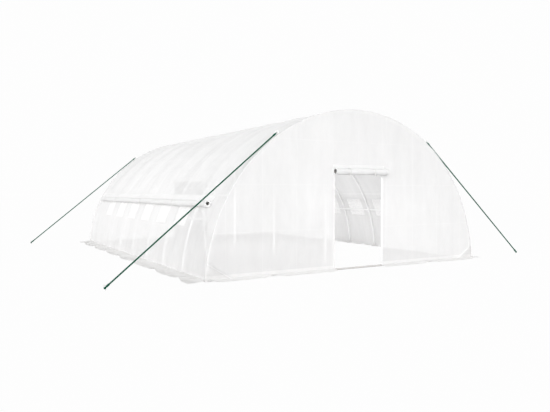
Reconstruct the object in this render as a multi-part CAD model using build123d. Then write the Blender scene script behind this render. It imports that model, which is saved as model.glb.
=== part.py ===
from build123d import *

import math
import os

# A polytunnel greenhouse: steel hoops and purlins under a translucent sheet, with a roll-up door in
# each end, netted windows under a roll-up flap along each side, ground flaps and four guy ropes.
# Millimetres. The origin is on the ground at the middle of the plan, X runs across the tunnel,
# Y along it with the front door at -Y, and Z up.

# Overall sizes
SPAN = 5950.0  # between the hoop feet at ground level, on the tubes' centre line
RISE = 2825.0  # of the hoops' centre line at the ridge
LENGTH = 7950.0  # between the two end hoops
BAYS = 8
FIT = 0.3  # clearance where one piece seats on another
OVERRUN = 20.0  # by which a cutting shape passes what it cuts

# Hoops: bent tubes of several sections, joined in sleeves and standing on foot plates
HOOP_TUBE = 38.0
HOOP_SECTIONS = 5
SLEEVE_WALL = 2.5
SLEEVE_LENGTH = 100.0
SLEEVE_GAP = 2.0  # between the tube ends inside a sleeve
FOOT_PLATE = 5.0
FOOT_WIDTH = 100.0
FOOT_LENGTH = 56.0

# Purlins along the tunnel, inside the hoops, and the clamps at their crossings
BAR_SIDES = 8  # of the straight bars
PURLIN_TUBE = 32.0
PURLIN_OVERHANG = 26.0
SIDE_PURLIN_HEIGHT = 930.0
CLAMP_WEB = 5.0
CLAMP_LENGTH = 60.0
CLAMP_WIDTH = 60.0

# Posts, end rails and corner braces
POST_TUBE = 38.0
POST_PLATE = 6.0
POST_PLATE_WIDTH = 150.0
RAIL_TUBE = 32.0
BRACE_TUBE = 25.0
BRACE_FOOT_HEIGHT = 150.0
BRACE_HEAD_HEIGHT = 1200.0

# Sheet cover, thicker here than the real film
COVER = 3.0
SEAM_HEIGHT = 1330.0  # where the side sheet meets the roof sheet
SEAM_GAP = 0.4
ROOF_STRIPS = ("left_lower", "left_middle", "left_upper", "right_upper", "right_middle", "right_lower")
FLAP_WIDTH = 300.0
END_FLAP_WIDTH = 120.0
FLAP = 3.0

# Doorways and their rolled-up doors
DOOR_WIDTH = 1100.0
DOOR_HEIGHT = 1800.0
DOOR_ROLL = 130.0
DOOR_ROLL_LENGTH = 1170.0
DOOR_ROLL_HEIGHT = 1750.0
DOOR_ROLL_SHEET = 4.0
DOOR_ROLL_STEP = 7.0  # by which each half turn grows
DOOR_ROLL_HALF_TURNS = 5
DOOR_STRAP_PLACE = 280.0

# Side windows with nets, and the rolled-up flap above them
WINDOW_WIDTH = 500.0
WINDOW_HEIGHT = 400.0
WINDOW_SILL = 815.0
WINDOW_FREE_BAYS = 1  # at each end, with no window
NET = 2.0
NET_LAP = 25.0
WINDOW_ROLL = 120.0
WINDOW_ROLL_LENGTH = 7100.0
WINDOW_ROLL_HEIGHT = 1200.0
WINDOW_ROLL_SHEET = 3.0
WINDOW_ROLL_STEP = 6.0
WINDOW_ROLL_HALF_TURNS = 3
STRAP_EVERY = 2  # hoops from one window roll strap to the next

# Tie straps round the rolls
STRAP = 2.0
STRAP_WIDTH = 30.0
STRAP_TAB = 110.0
STRAP_SIDES = 8

# Guy ropes from rings on the roof over the end hoops to ground pegs
ROPE = 26.0
ROPE_ANGLE = 56.0  # of the ring round the hoop's arc, in degrees above the horizontal
RING = 70.0
RING_BORE = 40.0
ROPE_DIP = 5.65  # of the rope below the roof's tangent at the ring, in degrees
PEG = 16.0
PEG_HEIGHT = 80.0
PEG_HOOK = 50.0
ROPE_TIE_HEIGHT = 45.0

# The hoops' arc and what lies on it
HOOP_RADIUS = (SPAN**2 / 4 + RISE**2) / (2 * RISE)
ARC_CENTRE = RISE - HOOP_RADIUS
HOOP_SPACING = LENGTH / BAYS
HOOP_PLACES = [-LENGTH / 2 + HOOP_SPACING * i for i in range(BAYS + 1)]
PURLIN_RADIUS = HOOP_RADIUS - HOOP_TUBE / 2 - CLAMP_WEB - PURLIN_TUBE / 2
SLEEVE_BOW = SLEEVE_LENGTH**2 / (8 * HOOP_RADIUS)
SLEEVE_OUTSIDE = HOOP_RADIUS + HOOP_TUBE / 2 + FIT + SLEEVE_WALL
COVER_INSIDE = math.hypot(SLEEVE_OUTSIDE, SLEEVE_LENGTH / 2) + FIT
COVER_OUTSIDE = COVER_INSIDE + COVER
END_INSIDE = LENGTH / 2 + CLAMP_WIDTH / 2 + FIT
END_OUTSIDE = END_INSIDE + COVER
SHEET_FOOT = FLAP + FIT


def angle_at(height, radius):
    """The angle, above the horizontal, at which an arc of this radius reaches a height."""
    return math.degrees(math.asin((height - ARC_CENTRE) / radius))


def across_at(height, radius):
    """The half width of the arc of this radius at a height."""
    return math.sqrt(radius**2 - (height - ARC_CENTRE) ** 2)


def radial_plane(angle, along=0.0):
    """A frame at the arc's centre: x runs out along the angle, y along the tunnel, z round the arc."""
    turn = math.radians(angle)
    return Plane(
        origin=(0, along, ARC_CENTRE),
        x_dir=(math.cos(turn), 0, math.sin(turn)),
        z_dir=(-math.sin(turn), 0, math.cos(turn)),
    )


def arc_point(radius, angle, along=0.0):
    """The point at a radius and angle round the arc."""
    turn = math.radians(angle)
    return Vector(radius * math.cos(turn), along, ARC_CENTRE + radius * math.sin(turn))


def bar_outline(across, sides=BAR_SIDES):
    """A bar's outline with a flat towards x."""
    return RegularPolygon(across / 2, sides, major_radius=False, rotation=180 / sides)


def bend(section, radius, start, stop):
    """A section, centred at a radius, turned round the arc from one angle to another."""
    placed = radial_plane(start) * (Pos(radius, 0) * section)
    return revolve(placed, Axis((0, 0, ARC_CENTRE), (0, -1, 0)), stop - start)


def bar(start, end, across, flat=(1, 0, 0)):
    """A straight bar between two points, with a flat on the given side."""
    line = end - start
    return extrude(Plane(origin=start, x_dir=flat, z_dir=line) * bar_outline(across), line.length)


def block(low, high):
    """A box between two corners."""
    size = [b - a for a, b in zip(low, high)]
    return Pos(*low) * Box(*size, align=(Align.MIN, Align.MIN, Align.MIN))


def both_sides(solid):
    """A solid on the +X side and its mirror image."""
    return [solid, mirror(solid, Plane.YZ)]


def both_ends(solid):
    """A solid at the front end and its mirror image at the rear."""
    return [solid, mirror(solid, Plane.XZ)]


def at_corners(solid):
    """A solid on the front end's +X side and its mirror images, four in all."""
    return [copy for side in both_sides(solid) for copy in both_ends(side)]


FOOT_ANGLE = angle_at(FOOT_PLATE + FIT, HOOP_RADIUS - HOOP_TUBE / 2)
FOOT_OUTER = (HOOP_RADIUS + HOOP_TUBE / 2) * math.cos(math.radians(FOOT_ANGLE))
SECTION_ANGLE = (180 - 2 * FOOT_ANGLE) / HOOP_SECTIONS
JOINT_ANGLES = [FOOT_ANGLE + SECTION_ANGLE * i for i in range(1, HOOP_SECTIONS)]


def hoop():
    """One hoop's tube sections, end to end with a small gap at each joint."""
    gap = math.degrees(SLEEVE_GAP / HOOP_RADIUS)
    starts = [FOOT_ANGLE] + [angle + gap / 2 for angle in JOINT_ANGLES]
    stops = [angle - gap / 2 for angle in JOINT_ANGLES] + [180 - FOOT_ANGLE]
    section = Rectangle(HOOP_TUBE, HOOP_TUBE)
    return [bend(section, HOOP_RADIUS, a, b) for a, b in zip(starts, stops)]


def hoop_sleeves():
    """The straight sleeves over one hoop's joints, wide enough for the bend inside them."""
    bore = (HOOP_TUBE + 2 * FIT + SLEEVE_BOW, HOOP_TUBE + 2 * FIT)
    ring = Rectangle(*(side + 2 * SLEEVE_WALL for side in bore)) - Rectangle(*bore)
    sleeve = Pos(HOOP_RADIUS - SLEEVE_BOW / 2, 0) * extrude(ring, SLEEVE_LENGTH / 2, both=True)
    return [radial_plane(angle) * sleeve for angle in JOINT_ANGLES]


def hoop_feet():
    """The two foot plates of one hoop."""
    half = FOOT_LENGTH / 2
    return both_sides(block((FOOT_OUTER - FOOT_WIDTH, -half, 0), (FOOT_OUTER, half, FOOT_PLATE)))


SEAM_ANGLE = angle_at(SEAM_HEIGHT, COVER_INSIDE)
ROOF_TURN = (180 - 2 * SEAM_ANGLE) / len(ROOF_STRIPS)
PURLIN_ANGLES = {
    "side": angle_at(SIDE_PURLIN_HEIGHT, PURLIN_RADIUS),
    "shoulder": SEAM_ANGLE + ROOF_TURN,
    "ridge": 90.0,
}


def purlin(angle):
    """A straight tube along the tunnel under the hoops."""
    length = LENGTH + 2 * PURLIN_OVERHANG
    turn = math.radians(angle)
    end = Plane(
        origin=arc_point(PURLIN_RADIUS, angle, -length / 2),
        x_dir=(math.cos(turn), 0, math.sin(turn)),
        z_dir=(0, 1, 0),
    )
    return extrude(end * bar_outline(PURLIN_TUBE), length)


def cross_clamp(angle):
    """A clamp block with one seat for the hoop and, across it, one for the purlin."""
    height = HOOP_RADIUS - PURLIN_RADIUS
    body = Pos(HOOP_RADIUS - height / 2, 0, 0) * Box(height, CLAMP_WIDTH, CLAMP_LENGTH)
    seat = HOOP_TUBE + 2 * FIT
    hoop_seat = Pos(HOOP_RADIUS, 0, 0) * Box(seat, seat, CLAMP_LENGTH + 2 * OVERRUN)
    across = Plane(origin=(PURLIN_RADIUS, 0, 0), x_dir=(1, 0, 0), z_dir=(0, 1, 0))
    purlin_seat = extrude(
        across * bar_outline(PURLIN_TUBE + 2 * FIT), CLAMP_WIDTH / 2 + OVERRUN, both=True
    )
    return radial_plane(angle) * (body - hoop_seat - purlin_seat)


def hoop_clamps():
    """The clamps of one hoop, at each purlin."""
    ridge = [cross_clamp(PURLIN_ANGLES["ridge"])]
    sides = [both_sides(cross_clamp(PURLIN_ANGLES[name])) for name in ("side", "shoulder")]
    return ridge + [clamp for pair in sides for clamp in pair]


def centre_posts():
    """Posts with foot plates under the ridge purlin, at every second hoop."""
    top = ARC_CENTRE + PURLIN_RADIUS - PURLIN_TUBE / 2 - FIT
    half = POST_PLATE_WIDTH / 2
    plate = block((-half, -half, 0), (half, half, POST_PLATE))
    post = bar(Vector(0, 0, POST_PLATE + FIT), Vector(0, 0, top), POST_TUBE)
    return [Pos(0, place, 0) * solid for place in HOOP_PLACES[1::2] for solid in (post, plate)]


def end_rails():
    """The ground rail across each end, which is also the door sill."""
    reach = FOOT_OUTER - FOOT_WIDTH - FIT
    start = Vector(-reach, -LENGTH / 2, RAIL_TUBE / 2)
    end = Vector(reach, -LENGTH / 2, RAIL_TUBE / 2)
    return both_ends(bar(start, end, RAIL_TUBE, (0, 1, 0)))


def side_rails():
    """The ground rail along each side, on the foot plates and against the hoops' inner faces."""
    height = FOOT_PLATE + FIT + RAIL_TUBE / 2
    inner = across_at(height + RAIL_TUBE / 2, HOOP_RADIUS - HOOP_TUBE / 2)
    place = inner - FIT - RAIL_TUBE / 2
    reach = LENGTH / 2 + PURLIN_OVERHANG
    return both_sides(bar(Vector(place, -reach, height), Vector(place, reach, height), RAIL_TUBE))


DOOR_POST_PLACE = DOOR_WIDTH / 2 + POST_TUBE / 2


def door_posts():
    """Two posts beside each doorway, from the end rail up to the end hoop."""
    inside = HOOP_RADIUS - HOOP_TUBE / 2 - FIT
    top = ARC_CENTRE + math.sqrt(inside**2 - (DOOR_POST_PLACE + POST_TUBE / 2) ** 2)
    foot = Vector(DOOR_POST_PLACE, -LENGTH / 2, RAIL_TUBE + FIT)
    return at_corners(bar(foot, Vector(DOOR_POST_PLACE, -LENGTH / 2, top), POST_TUBE))


def door_headers():
    """The bar across the top of each doorway, between its posts."""
    reach = DOOR_WIDTH / 2 - FIT
    height = DOOR_HEIGHT + RAIL_TUBE / 2
    start = Vector(-reach, -LENGTH / 2, height)
    end = Vector(reach, -LENGTH / 2, height)
    return both_ends(bar(start, end, RAIL_TUBE, (0, 1, 0)))


def corner_braces():
    """A brace in each corner bay, from the end hoop's foot up to the next hoop."""
    corner = BRACE_TUBE / 2 / math.cos(math.pi / BAR_SIDES)
    radius = HOOP_RADIUS - HOOP_TUBE / 2 - FIT - corner
    low, high = (angle_at(height, radius) for height in (BRACE_FOOT_HEIGHT, BRACE_HEAD_HEIGHT))
    foot = arc_point(radius, low, HOOP_PLACES[0])
    head = arc_point(radius, high, HOOP_PLACES[1])
    return at_corners(bar(foot, head, BRACE_TUBE, radial_plane((low + high) / 2).x_dir))


SEAM_TURN = math.degrees(SEAM_GAP / COVER_INSIDE)


def sheet(inside, thickness, length, start, stop):
    """A sheet bent round the arc."""
    return bend(Rectangle(thickness, length), inside + thickness / 2, start, stop)


WINDOW_LOW = angle_at(WINDOW_SILL, COVER_INSIDE)
WINDOW_HIGH = WINDOW_LOW + math.degrees(WINDOW_HEIGHT / COVER_INSIDE)
WINDOW_PLACES = [
    HOOP_PLACES[i] + HOOP_SPACING / 2 for i in range(WINDOW_FREE_BAYS, BAYS - WINDOW_FREE_BAYS)
]


def side_cover():
    """The sheet along the +X side, with the window openings cut through it."""
    low = angle_at(SHEET_FOOT, COVER_INSIDE)
    wall = sheet(COVER_INSIDE, COVER, 2 * END_OUTSIDE, low, SEAM_ANGLE - SEAM_TURN / 2)
    middle = radial_plane((WINDOW_LOW + WINDOW_HIGH) / 2)
    for place in WINDOW_PLACES:
        opening = Box(COVER + 2 * OVERRUN, WINDOW_WIDTH, WINDOW_HEIGHT)
        wall -= middle * (Pos(COVER_INSIDE, place, 0) * opening)
    return wall


def window_nets():
    """The nets behind the +X side's window openings, lapped past their edges."""
    lap = math.degrees(NET_LAP / COVER_INSIDE)
    width = WINDOW_WIDTH + 2 * NET_LAP
    net = sheet(COVER_INSIDE - FIT - NET, NET, width, WINDOW_LOW - lap, WINDOW_HIGH + lap)
    return [Pos(0, place, 0) * net for place in WINDOW_PLACES]


def roof_cover(index):
    """One lengthwise strip of the roof sheet, counted from the left seam."""
    stop = 180 - SEAM_ANGLE - ROOF_TURN * index - SEAM_TURN / 2
    return sheet(COVER_INSIDE, COVER, 2 * END_OUTSIDE, stop - ROOF_TURN + SEAM_TURN, stop)


def end_outline():
    """The arched outline of an end sheet, in the plane of the end."""
    arch = Pos(0, ARC_CENTRE) * Circle(COVER_INSIDE - FIT)
    return arch & Pos(0, SHEET_FOOT) * Rectangle(
        SPAN + 2 * HOOP_TUBE, RISE + HOOP_TUBE, align=(Align.CENTER, Align.MIN)
    )


def end_sheet(outline):
    """A flat sheet at the front end."""
    plane = Plane(origin=(0, -END_INSIDE, 0), x_dir=(1, 0, 0), z_dir=(0, -1, 0))
    return extrude(plane * outline, COVER)


def end_side_cover():
    """The end sheet on the +X side of the front doorway."""
    beside = Pos(DOOR_WIDTH / 2, 0) * Rectangle(SPAN, RISE + HOOP_TUBE, align=Align.MIN)
    return end_sheet(end_outline() & beside)


def end_top_cover():
    """The end sheet over the front doorway."""
    width = DOOR_WIDTH - 2 * SEAM_GAP
    over = Pos(0, DOOR_HEIGHT) * Rectangle(width, RISE, align=(Align.CENTER, Align.MIN))
    return end_sheet(end_outline() & over)


def side_ground_flaps():
    """The sheet's lower edge, turned out flat on the ground along each side."""
    outer = across_at(0, COVER_OUTSIDE) + FLAP_WIDTH
    return both_sides(block((FOOT_OUTER + FIT, -END_OUTSIDE, 0), (outer, END_OUTSIDE, FLAP)))


def end_ground_flaps():
    """The end sheets' lower edges, turned out flat on the ground beside each doorway."""
    outer_edge = -END_OUTSIDE - END_FLAP_WIDTH
    return at_corners(block((DOOR_WIDTH / 2, outer_edge, 0), (FOOT_OUTER, FIT - END_INSIDE, FLAP)))


def spiral(diameter, thickness, step, half_turns):
    """The outline of a loosely rolled sheet: half circles about two centres, one step apart."""
    core = diameter / 2 - thickness - step * (half_turns - 1)

    def line(radius):
        arcs = []
        for turn in range(half_turns):
            side = 1 if turn % 2 == 0 else -1
            middle = 0 if side > 0 else step
            reach = radius + step * turn
            arcs.append(
                ThreePointArc(
                    (middle + side * reach, 0), (middle, side * reach), (middle - side * reach, 0)
                )
            )
        return arcs

    inner, outer = line(core), line(core + thickness)
    caps = [Line(inner[0] @ 0, outer[0] @ 0), Line(inner[-1] @ 1, outer[-1] @ 1)]
    return make_face(Curve() + inner + outer + caps)


def strap_band(diameter):
    """A tie strap's outline round a roll, with its tab running up the sheet behind, towards -x."""
    reach = diameter / 2 + FIT
    band = bar_outline(2 * (reach + STRAP), STRAP_SIDES) - bar_outline(2 * reach, STRAP_SIDES)
    tab = Pos(-reach - STRAP, 0) * Rectangle(STRAP, STRAP_TAB, align=Align.MIN)
    return band + tab


WINDOW_ROLL_RADIUS = COVER_OUTSIDE + FIT + STRAP + FIT + WINDOW_ROLL / 2
WINDOW_ROLL_ANGLE = angle_at(WINDOW_ROLL_HEIGHT, WINDOW_ROLL_RADIUS)


def window_roll_plane(along):
    """A frame on the +X side's roll: x out from the cover, y up round it, z against the tunnel's Y."""
    turn = math.radians(WINDOW_ROLL_ANGLE)
    return Plane(
        origin=arc_point(WINDOW_ROLL_RADIUS, WINDOW_ROLL_ANGLE, along),
        x_dir=(math.cos(turn), 0, math.sin(turn)),
        z_dir=(0, -1, 0),
    )


def window_roll():
    """The rolled-up flap over the +X side's windows."""
    coil = spiral(WINDOW_ROLL, WINDOW_ROLL_SHEET, WINDOW_ROLL_STEP, WINDOW_ROLL_HALF_TURNS)
    return extrude(window_roll_plane(WINDOW_ROLL_LENGTH / 2) * coil, WINDOW_ROLL_LENGTH)


def window_roll_straps():
    """Tie straps round both window rolls."""
    straps = []
    for index in range(STRAP_EVERY, BAYS, STRAP_EVERY):
        plane = window_roll_plane(HOOP_PLACES[index] + STRAP_WIDTH / 2)
        straps += both_sides(extrude(plane * strap_band(WINDOW_ROLL), STRAP_WIDTH))
    return straps


DOOR_ROLL_PLACE = END_OUTSIDE + FIT + STRAP + FIT + DOOR_ROLL / 2


def door_roll_plane(across):
    """A frame on the front door's roll: x forward from the end sheet, y up, z against X."""
    return Plane(
        origin=(across, -DOOR_ROLL_PLACE, DOOR_ROLL_HEIGHT), x_dir=(0, -1, 0), z_dir=(-1, 0, 0)
    )


def door_roll():
    """The rolled-up front door."""
    coil = spiral(DOOR_ROLL, DOOR_ROLL_SHEET, DOOR_ROLL_STEP, DOOR_ROLL_HALF_TURNS)
    return extrude(door_roll_plane(DOOR_ROLL_LENGTH / 2) * coil, DOOR_ROLL_LENGTH)


def door_roll_straps():
    """Two tie straps round each rolled-up door."""
    plane = door_roll_plane(DOOR_STRAP_PLACE + STRAP_WIDTH / 2)
    return at_corners(extrude(plane * strap_band(DOOR_ROLL), STRAP_WIDTH))


ROPE_PLACE = LENGTH / 2
RING_CENTRE = arc_point(COVER_OUTSIDE + FIT + RING / 2, ROPE_ANGLE, -ROPE_PLACE)
RING_WAY = -radial_plane(ROPE_ANGLE).z_dir
ROPE_SLOPE = math.radians(90 - ROPE_ANGLE + ROPE_DIP)
ROPE_WAY = Vector(math.cos(ROPE_SLOPE), 0, -math.sin(ROPE_SLOPE))
TIE_POINT = RING_CENTRE + ROPE_WAY * ((RING_CENTRE.Z - ROPE_TIE_HEIGHT) / math.sin(ROPE_SLOPE))


def rope_rings():
    """The rings on the roof over the end hoops, a flat against the sheet, that hold the guy ropes."""
    plane = Plane(origin=RING_CENTRE - Vector(0, ROPE / 2, 0), x_dir=RING_WAY, z_dir=(0, 1, 0))
    return at_corners(extrude(plane * (bar_outline(RING) - bar_outline(RING_BORE)), ROPE))


def guy_ropes():
    """Taut ropes from the rings down to the pegs."""
    lean = math.radians(ROPE_WAY.get_angle(RING_WAY))
    reach = (RING / 2 + FIT + ROPE / 2 * math.sin(lean)) / math.cos(lean)
    start = RING_CENTRE + ROPE_WAY * reach
    end = TIE_POINT - ROPE_WAY * ((PEG / 2 + FIT - ROPE_WAY.Z * ROPE / 2) / ROPE_WAY.X)
    return at_corners(bar(start, end, ROPE, (0, 1, 0)))


def guy_pegs():
    """Ground pegs with a hooked top, from the ground up."""
    bottom = Vector(TIE_POINT.X, -ROPE_PLACE, 0)
    top = Vector(TIE_POINT.X, -ROPE_PLACE, PEG_HEIGHT)
    tip = top + Vector(PEG_HOOK, 0, 0)
    return at_corners(bar(bottom, top, PEG) + bar(top - Vector(PEG / 2, 0, 0), tip, PEG, (0, 1, 0)))


def write(name, solids):
    """Writes a node's solids to its file."""
    pieces = [solid for shape in solids for solid in shape.solids()]
    export_step(Compound(pieces), f"parts/{name}.step")


os.makedirs("parts", exist_ok=True)

HOOP_NAMES = ["front_hoop"] + [f"hoop_{i + 1}" for i in range(1, BAYS)] + ["rear_hoop"]
one_hoop = hoop()
for hoop_name, place in zip(HOOP_NAMES, HOOP_PLACES):
    write(hoop_name, [Pos(0, place, 0) * section for section in one_hoop])

one_set = {"hoop_sleeves": hoop_sleeves(), "hoop_feet": hoop_feet(), "purlin_clamps": hoop_clamps()}
for node, solids in one_set.items():
    write(node, [Pos(0, place, 0) * solid for place in HOOP_PLACES for solid in solids])

write("ridge_purlin", [purlin(PURLIN_ANGLES["ridge"])])
write("shoulder_purlins", both_sides(purlin(PURLIN_ANGLES["shoulder"])))
write("side_purlins", both_sides(purlin(PURLIN_ANGLES["side"])))
write("centre_posts", centre_posts())
write("side_rails", side_rails())
write("end_rails", end_rails())
write("door_posts", door_posts())
write("door_headers", door_headers())
write("corner_braces", corner_braces())

for piece_name, one_side in (
    ("side_cover", [side_cover()]),
    ("window_nets", window_nets()),
    ("window_roll", [window_roll()]),
):
    write(f"right_{piece_name}", one_side)
    write(f"left_{piece_name}", [mirror(solid, Plane.YZ) for solid in one_side])
write("window_roll_straps", window_roll_straps())

for strip_index, strip_name in enumerate(ROOF_STRIPS):
    write(f"roof_cover_{strip_name}", [roof_cover(strip_index)])

for end_name, place_at_end in (
    ("front", lambda solid: solid),
    ("rear", lambda solid: mirror(solid, Plane.XZ)),
):
    write(f"{end_name}_cover_right", [place_at_end(end_side_cover())])
    write(f"{end_name}_cover_left", [place_at_end(mirror(end_side_cover(), Plane.YZ))])
    write(f"{end_name}_cover_top", [place_at_end(end_top_cover())])
    write(f"{end_name}_door_roll", [place_at_end(door_roll())])
write("door_roll_straps", door_roll_straps())

write("side_ground_flaps", side_ground_flaps())
write("end_ground_flaps", end_ground_flaps())
write("rope_rings", rope_rings())
write("guy_ropes", guy_ropes())
write("guy_pegs", guy_pegs())
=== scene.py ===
"""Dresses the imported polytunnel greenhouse: film, nets, rolls, tubes, clamps and guy ropes."""

import logging
import math
from dataclasses import dataclass
from enum import Enum
from typing import Any, Callable, Iterable, Mapping, Sequence

import bmesh
import bpy
from mathutils import Matrix, Vector, noise


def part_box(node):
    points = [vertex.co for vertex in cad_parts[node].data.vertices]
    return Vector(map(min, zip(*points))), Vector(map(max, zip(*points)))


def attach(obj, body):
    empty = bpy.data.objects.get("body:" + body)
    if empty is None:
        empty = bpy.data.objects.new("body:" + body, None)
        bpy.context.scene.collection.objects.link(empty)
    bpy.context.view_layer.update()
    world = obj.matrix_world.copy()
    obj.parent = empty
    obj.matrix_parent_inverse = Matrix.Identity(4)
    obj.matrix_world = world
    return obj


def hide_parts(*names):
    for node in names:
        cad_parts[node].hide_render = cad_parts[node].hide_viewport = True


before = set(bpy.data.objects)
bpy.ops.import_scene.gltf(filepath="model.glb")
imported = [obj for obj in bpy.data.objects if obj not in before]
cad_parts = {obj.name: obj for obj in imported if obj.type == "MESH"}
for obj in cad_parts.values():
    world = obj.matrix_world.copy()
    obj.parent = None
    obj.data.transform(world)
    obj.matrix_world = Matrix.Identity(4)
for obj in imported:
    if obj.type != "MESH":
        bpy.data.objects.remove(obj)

LOG = logging.getLogger("polytunnel")
Colour = tuple[float, float, float, float]
Placer = Callable[[Vector], Vector]
WHITE: Colour = (1.0, 1.0, 1.0, 1.0)
QUARTER = math.pi / 2
# The clearance between seated pieces, how far a sewn tape stands off its sheet, and a tape's turned hem.
FIT = 0.0003
SEWN = 0.0016
HEM = 0.006
# A bolt's washer: its thickness, its radius as a share of the head, and the rounding of the head.
WASHER = 0.0015
WASHER_SHARE = 0.85
BOLT_ROUNDING = 0.0006
# How near vertices are taken as one.
SAME = 1e-6
# The tuck in the lower corners of the end sheets: how far across it starts, and its slope.
TUCK_START = 2.52
TUCK_SLOPE = 0.61


class Slot(Enum):
    """The record's material slots."""

    STEEL = "galvanised_steel"
    COVER = "cover_sheet"
    ROLLED = "rolled_sheet"
    NET = "window_net"
    STRAP = "tie_strap"
    ROPE = "guy_rope"


class Facing(Enum):
    """A way that pieces face, by the sign of their place."""

    @property
    def label(self) -> str:
        """The word for it in the names of pieces."""
        return self.name.lower()


class End(Facing):
    """The two ends of the tunnel, by the sign of their Y."""

    FRONT = -1
    REAR = 1


class Side(Facing):
    """The two long sides of the tunnel, by the sign of their X."""

    LEFT = -1
    RIGHT = 1


def ease(value: float, low: float, high: float) -> float:
    """A smooth step from 0 before low to 1 after high."""
    share = min(max((value - low) / (high - low), 0.0), 1.0)
    return share * share * (3 - 2 * share)


def ripple(x: float, y: float, seed: float) -> float:
    """Smooth noise from about -1 to 1 at a point of a plane."""
    return noise.noise(Vector((x, y, seed)))


def moved(x: float, y: float, z: float) -> Matrix:
    """A shift."""
    return Matrix.Translation((x, y, z))


def turned(angle: float, axis: str) -> Matrix:
    """A turn about an axis."""
    return Matrix.Rotation(angle, 4, axis)


def pointed(way: Vector) -> Matrix:
    """A turn that carries the z axis on to a direction."""
    return way.to_track_quat("Z", "Y").to_matrix().to_4x4()


def mirrored(spot: Matrix, side: Side) -> Matrix:
    """A spot as it is on the right side, or mirrored to the left one."""
    return Matrix.Diagonal((side.value, 1.0, 1.0, 1.0)) @ spot


def corner_spots() -> list[Matrix]:
    """The mirrors that carry a piece of the right front corner to all four corners."""
    return [Matrix.Diagonal((side.value, -end.value, 1.0, 1.0)) for side in Side for end in End]


def edges_of(verts: Iterable[bmesh.types.BMVert]) -> list[bmesh.types.BMEdge]:
    """The edges that meet at some vertices."""
    return list({edge for vert in verts for edge in vert.link_edges})


def only(kind: type, geometry: Iterable[Any]) -> list:
    """The vertices, edges or faces among some geometry."""
    return [item for item in geometry if isinstance(item, kind)]


@dataclass(frozen=True)
class Layout:
    """The tunnel's own measures in metres, which every piece shares."""

    span: float = 5.95
    rise: float = 2.825
    length: float = 7.95
    bays: int = 8
    hoop_tube: float = 0.038
    purlin_tube: float = 0.032
    purlin_drop: float = 0.040
    cover_radius: float = 3.003
    end_place: float = 4.0068
    sheet_foot: float = 0.0033
    seam_height: float = 1.33
    door_width: float = 1.1
    door_height: float = 1.8
    window_width: float = 0.5
    window_height: float = 0.4
    window_sill: float = 0.815
    free_bays: int = 1

    @property
    def hoop_radius(self) -> float:
        """The bend of the hoops' centre line."""
        return (self.span**2 / 4 + self.rise**2) / (2 * self.rise)

    @property
    def arc_centre(self) -> float:
        """The height of the hoops' centre of bend."""
        return self.rise - self.hoop_radius

    @property
    def spacing(self) -> float:
        """The distance from hoop to hoop."""
        return self.length / self.bays

    @property
    def purlin_radius(self) -> float:
        """The distance of the purlins from the centre of bend."""
        return self.hoop_radius - self.purlin_drop

    @property
    def hoop_places(self) -> list[float]:
        """Where the hoops stand along the tunnel."""
        return [self.spacing * step - self.length / 2 for step in range(self.bays + 1)]

    @property
    def window_places(self) -> list[float]:
        """The middles of the windows along the tunnel."""
        bays = range(self.free_bays, self.bays - self.free_bays)
        return [self.hoop_places[bay] + self.spacing / 2 for bay in bays]

    @property
    def window_angles(self) -> tuple[float, float]:
        """Where a window starts and ends round the arc."""
        low = self.angle_at(self.window_sill, self.cover_radius)
        return low, low + self.window_height / self.cover_radius

    @property
    def foot_angle(self) -> float:
        """Where the sheet starts round the arc, at its foot."""
        return self.angle_at(self.sheet_foot, self.cover_radius)

    @property
    def seam_angle(self) -> float:
        """Where the side sheet meets the roof sheet."""
        return self.angle_at(self.seam_height, self.cover_radius)

    def angle_at(self, height: float, radius: float) -> float:
        """The angle at which an arc of a radius reaches a height."""
        return math.asin((height - self.arc_centre) / radius)

    def point(self, radius: float, angle: float, along: float = 0.0) -> Vector:
        """The point at a radius and angle round the arc, and a place along the tunnel."""
        return Vector((radius * math.cos(angle), along, self.arc_centre + radius * math.sin(angle)))

    def radial(self, angle: float, along: float = 0.0) -> Matrix:
        """A frame at the centre of bend.

        Args:
            angle: The angle round the arc.
            along: The place along the tunnel.

        Returns:
            A matrix whose x runs out along the angle, y along the tunnel and z round the arc.
        """
        cosine, sine = math.cos(angle), math.sin(angle)
        turn = Matrix(((cosine, 0, -sine), (0, 1, 0), (sine, 0, cosine))).to_4x4()
        return Matrix.Translation((0, along, self.arc_centre)) @ turn


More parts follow.
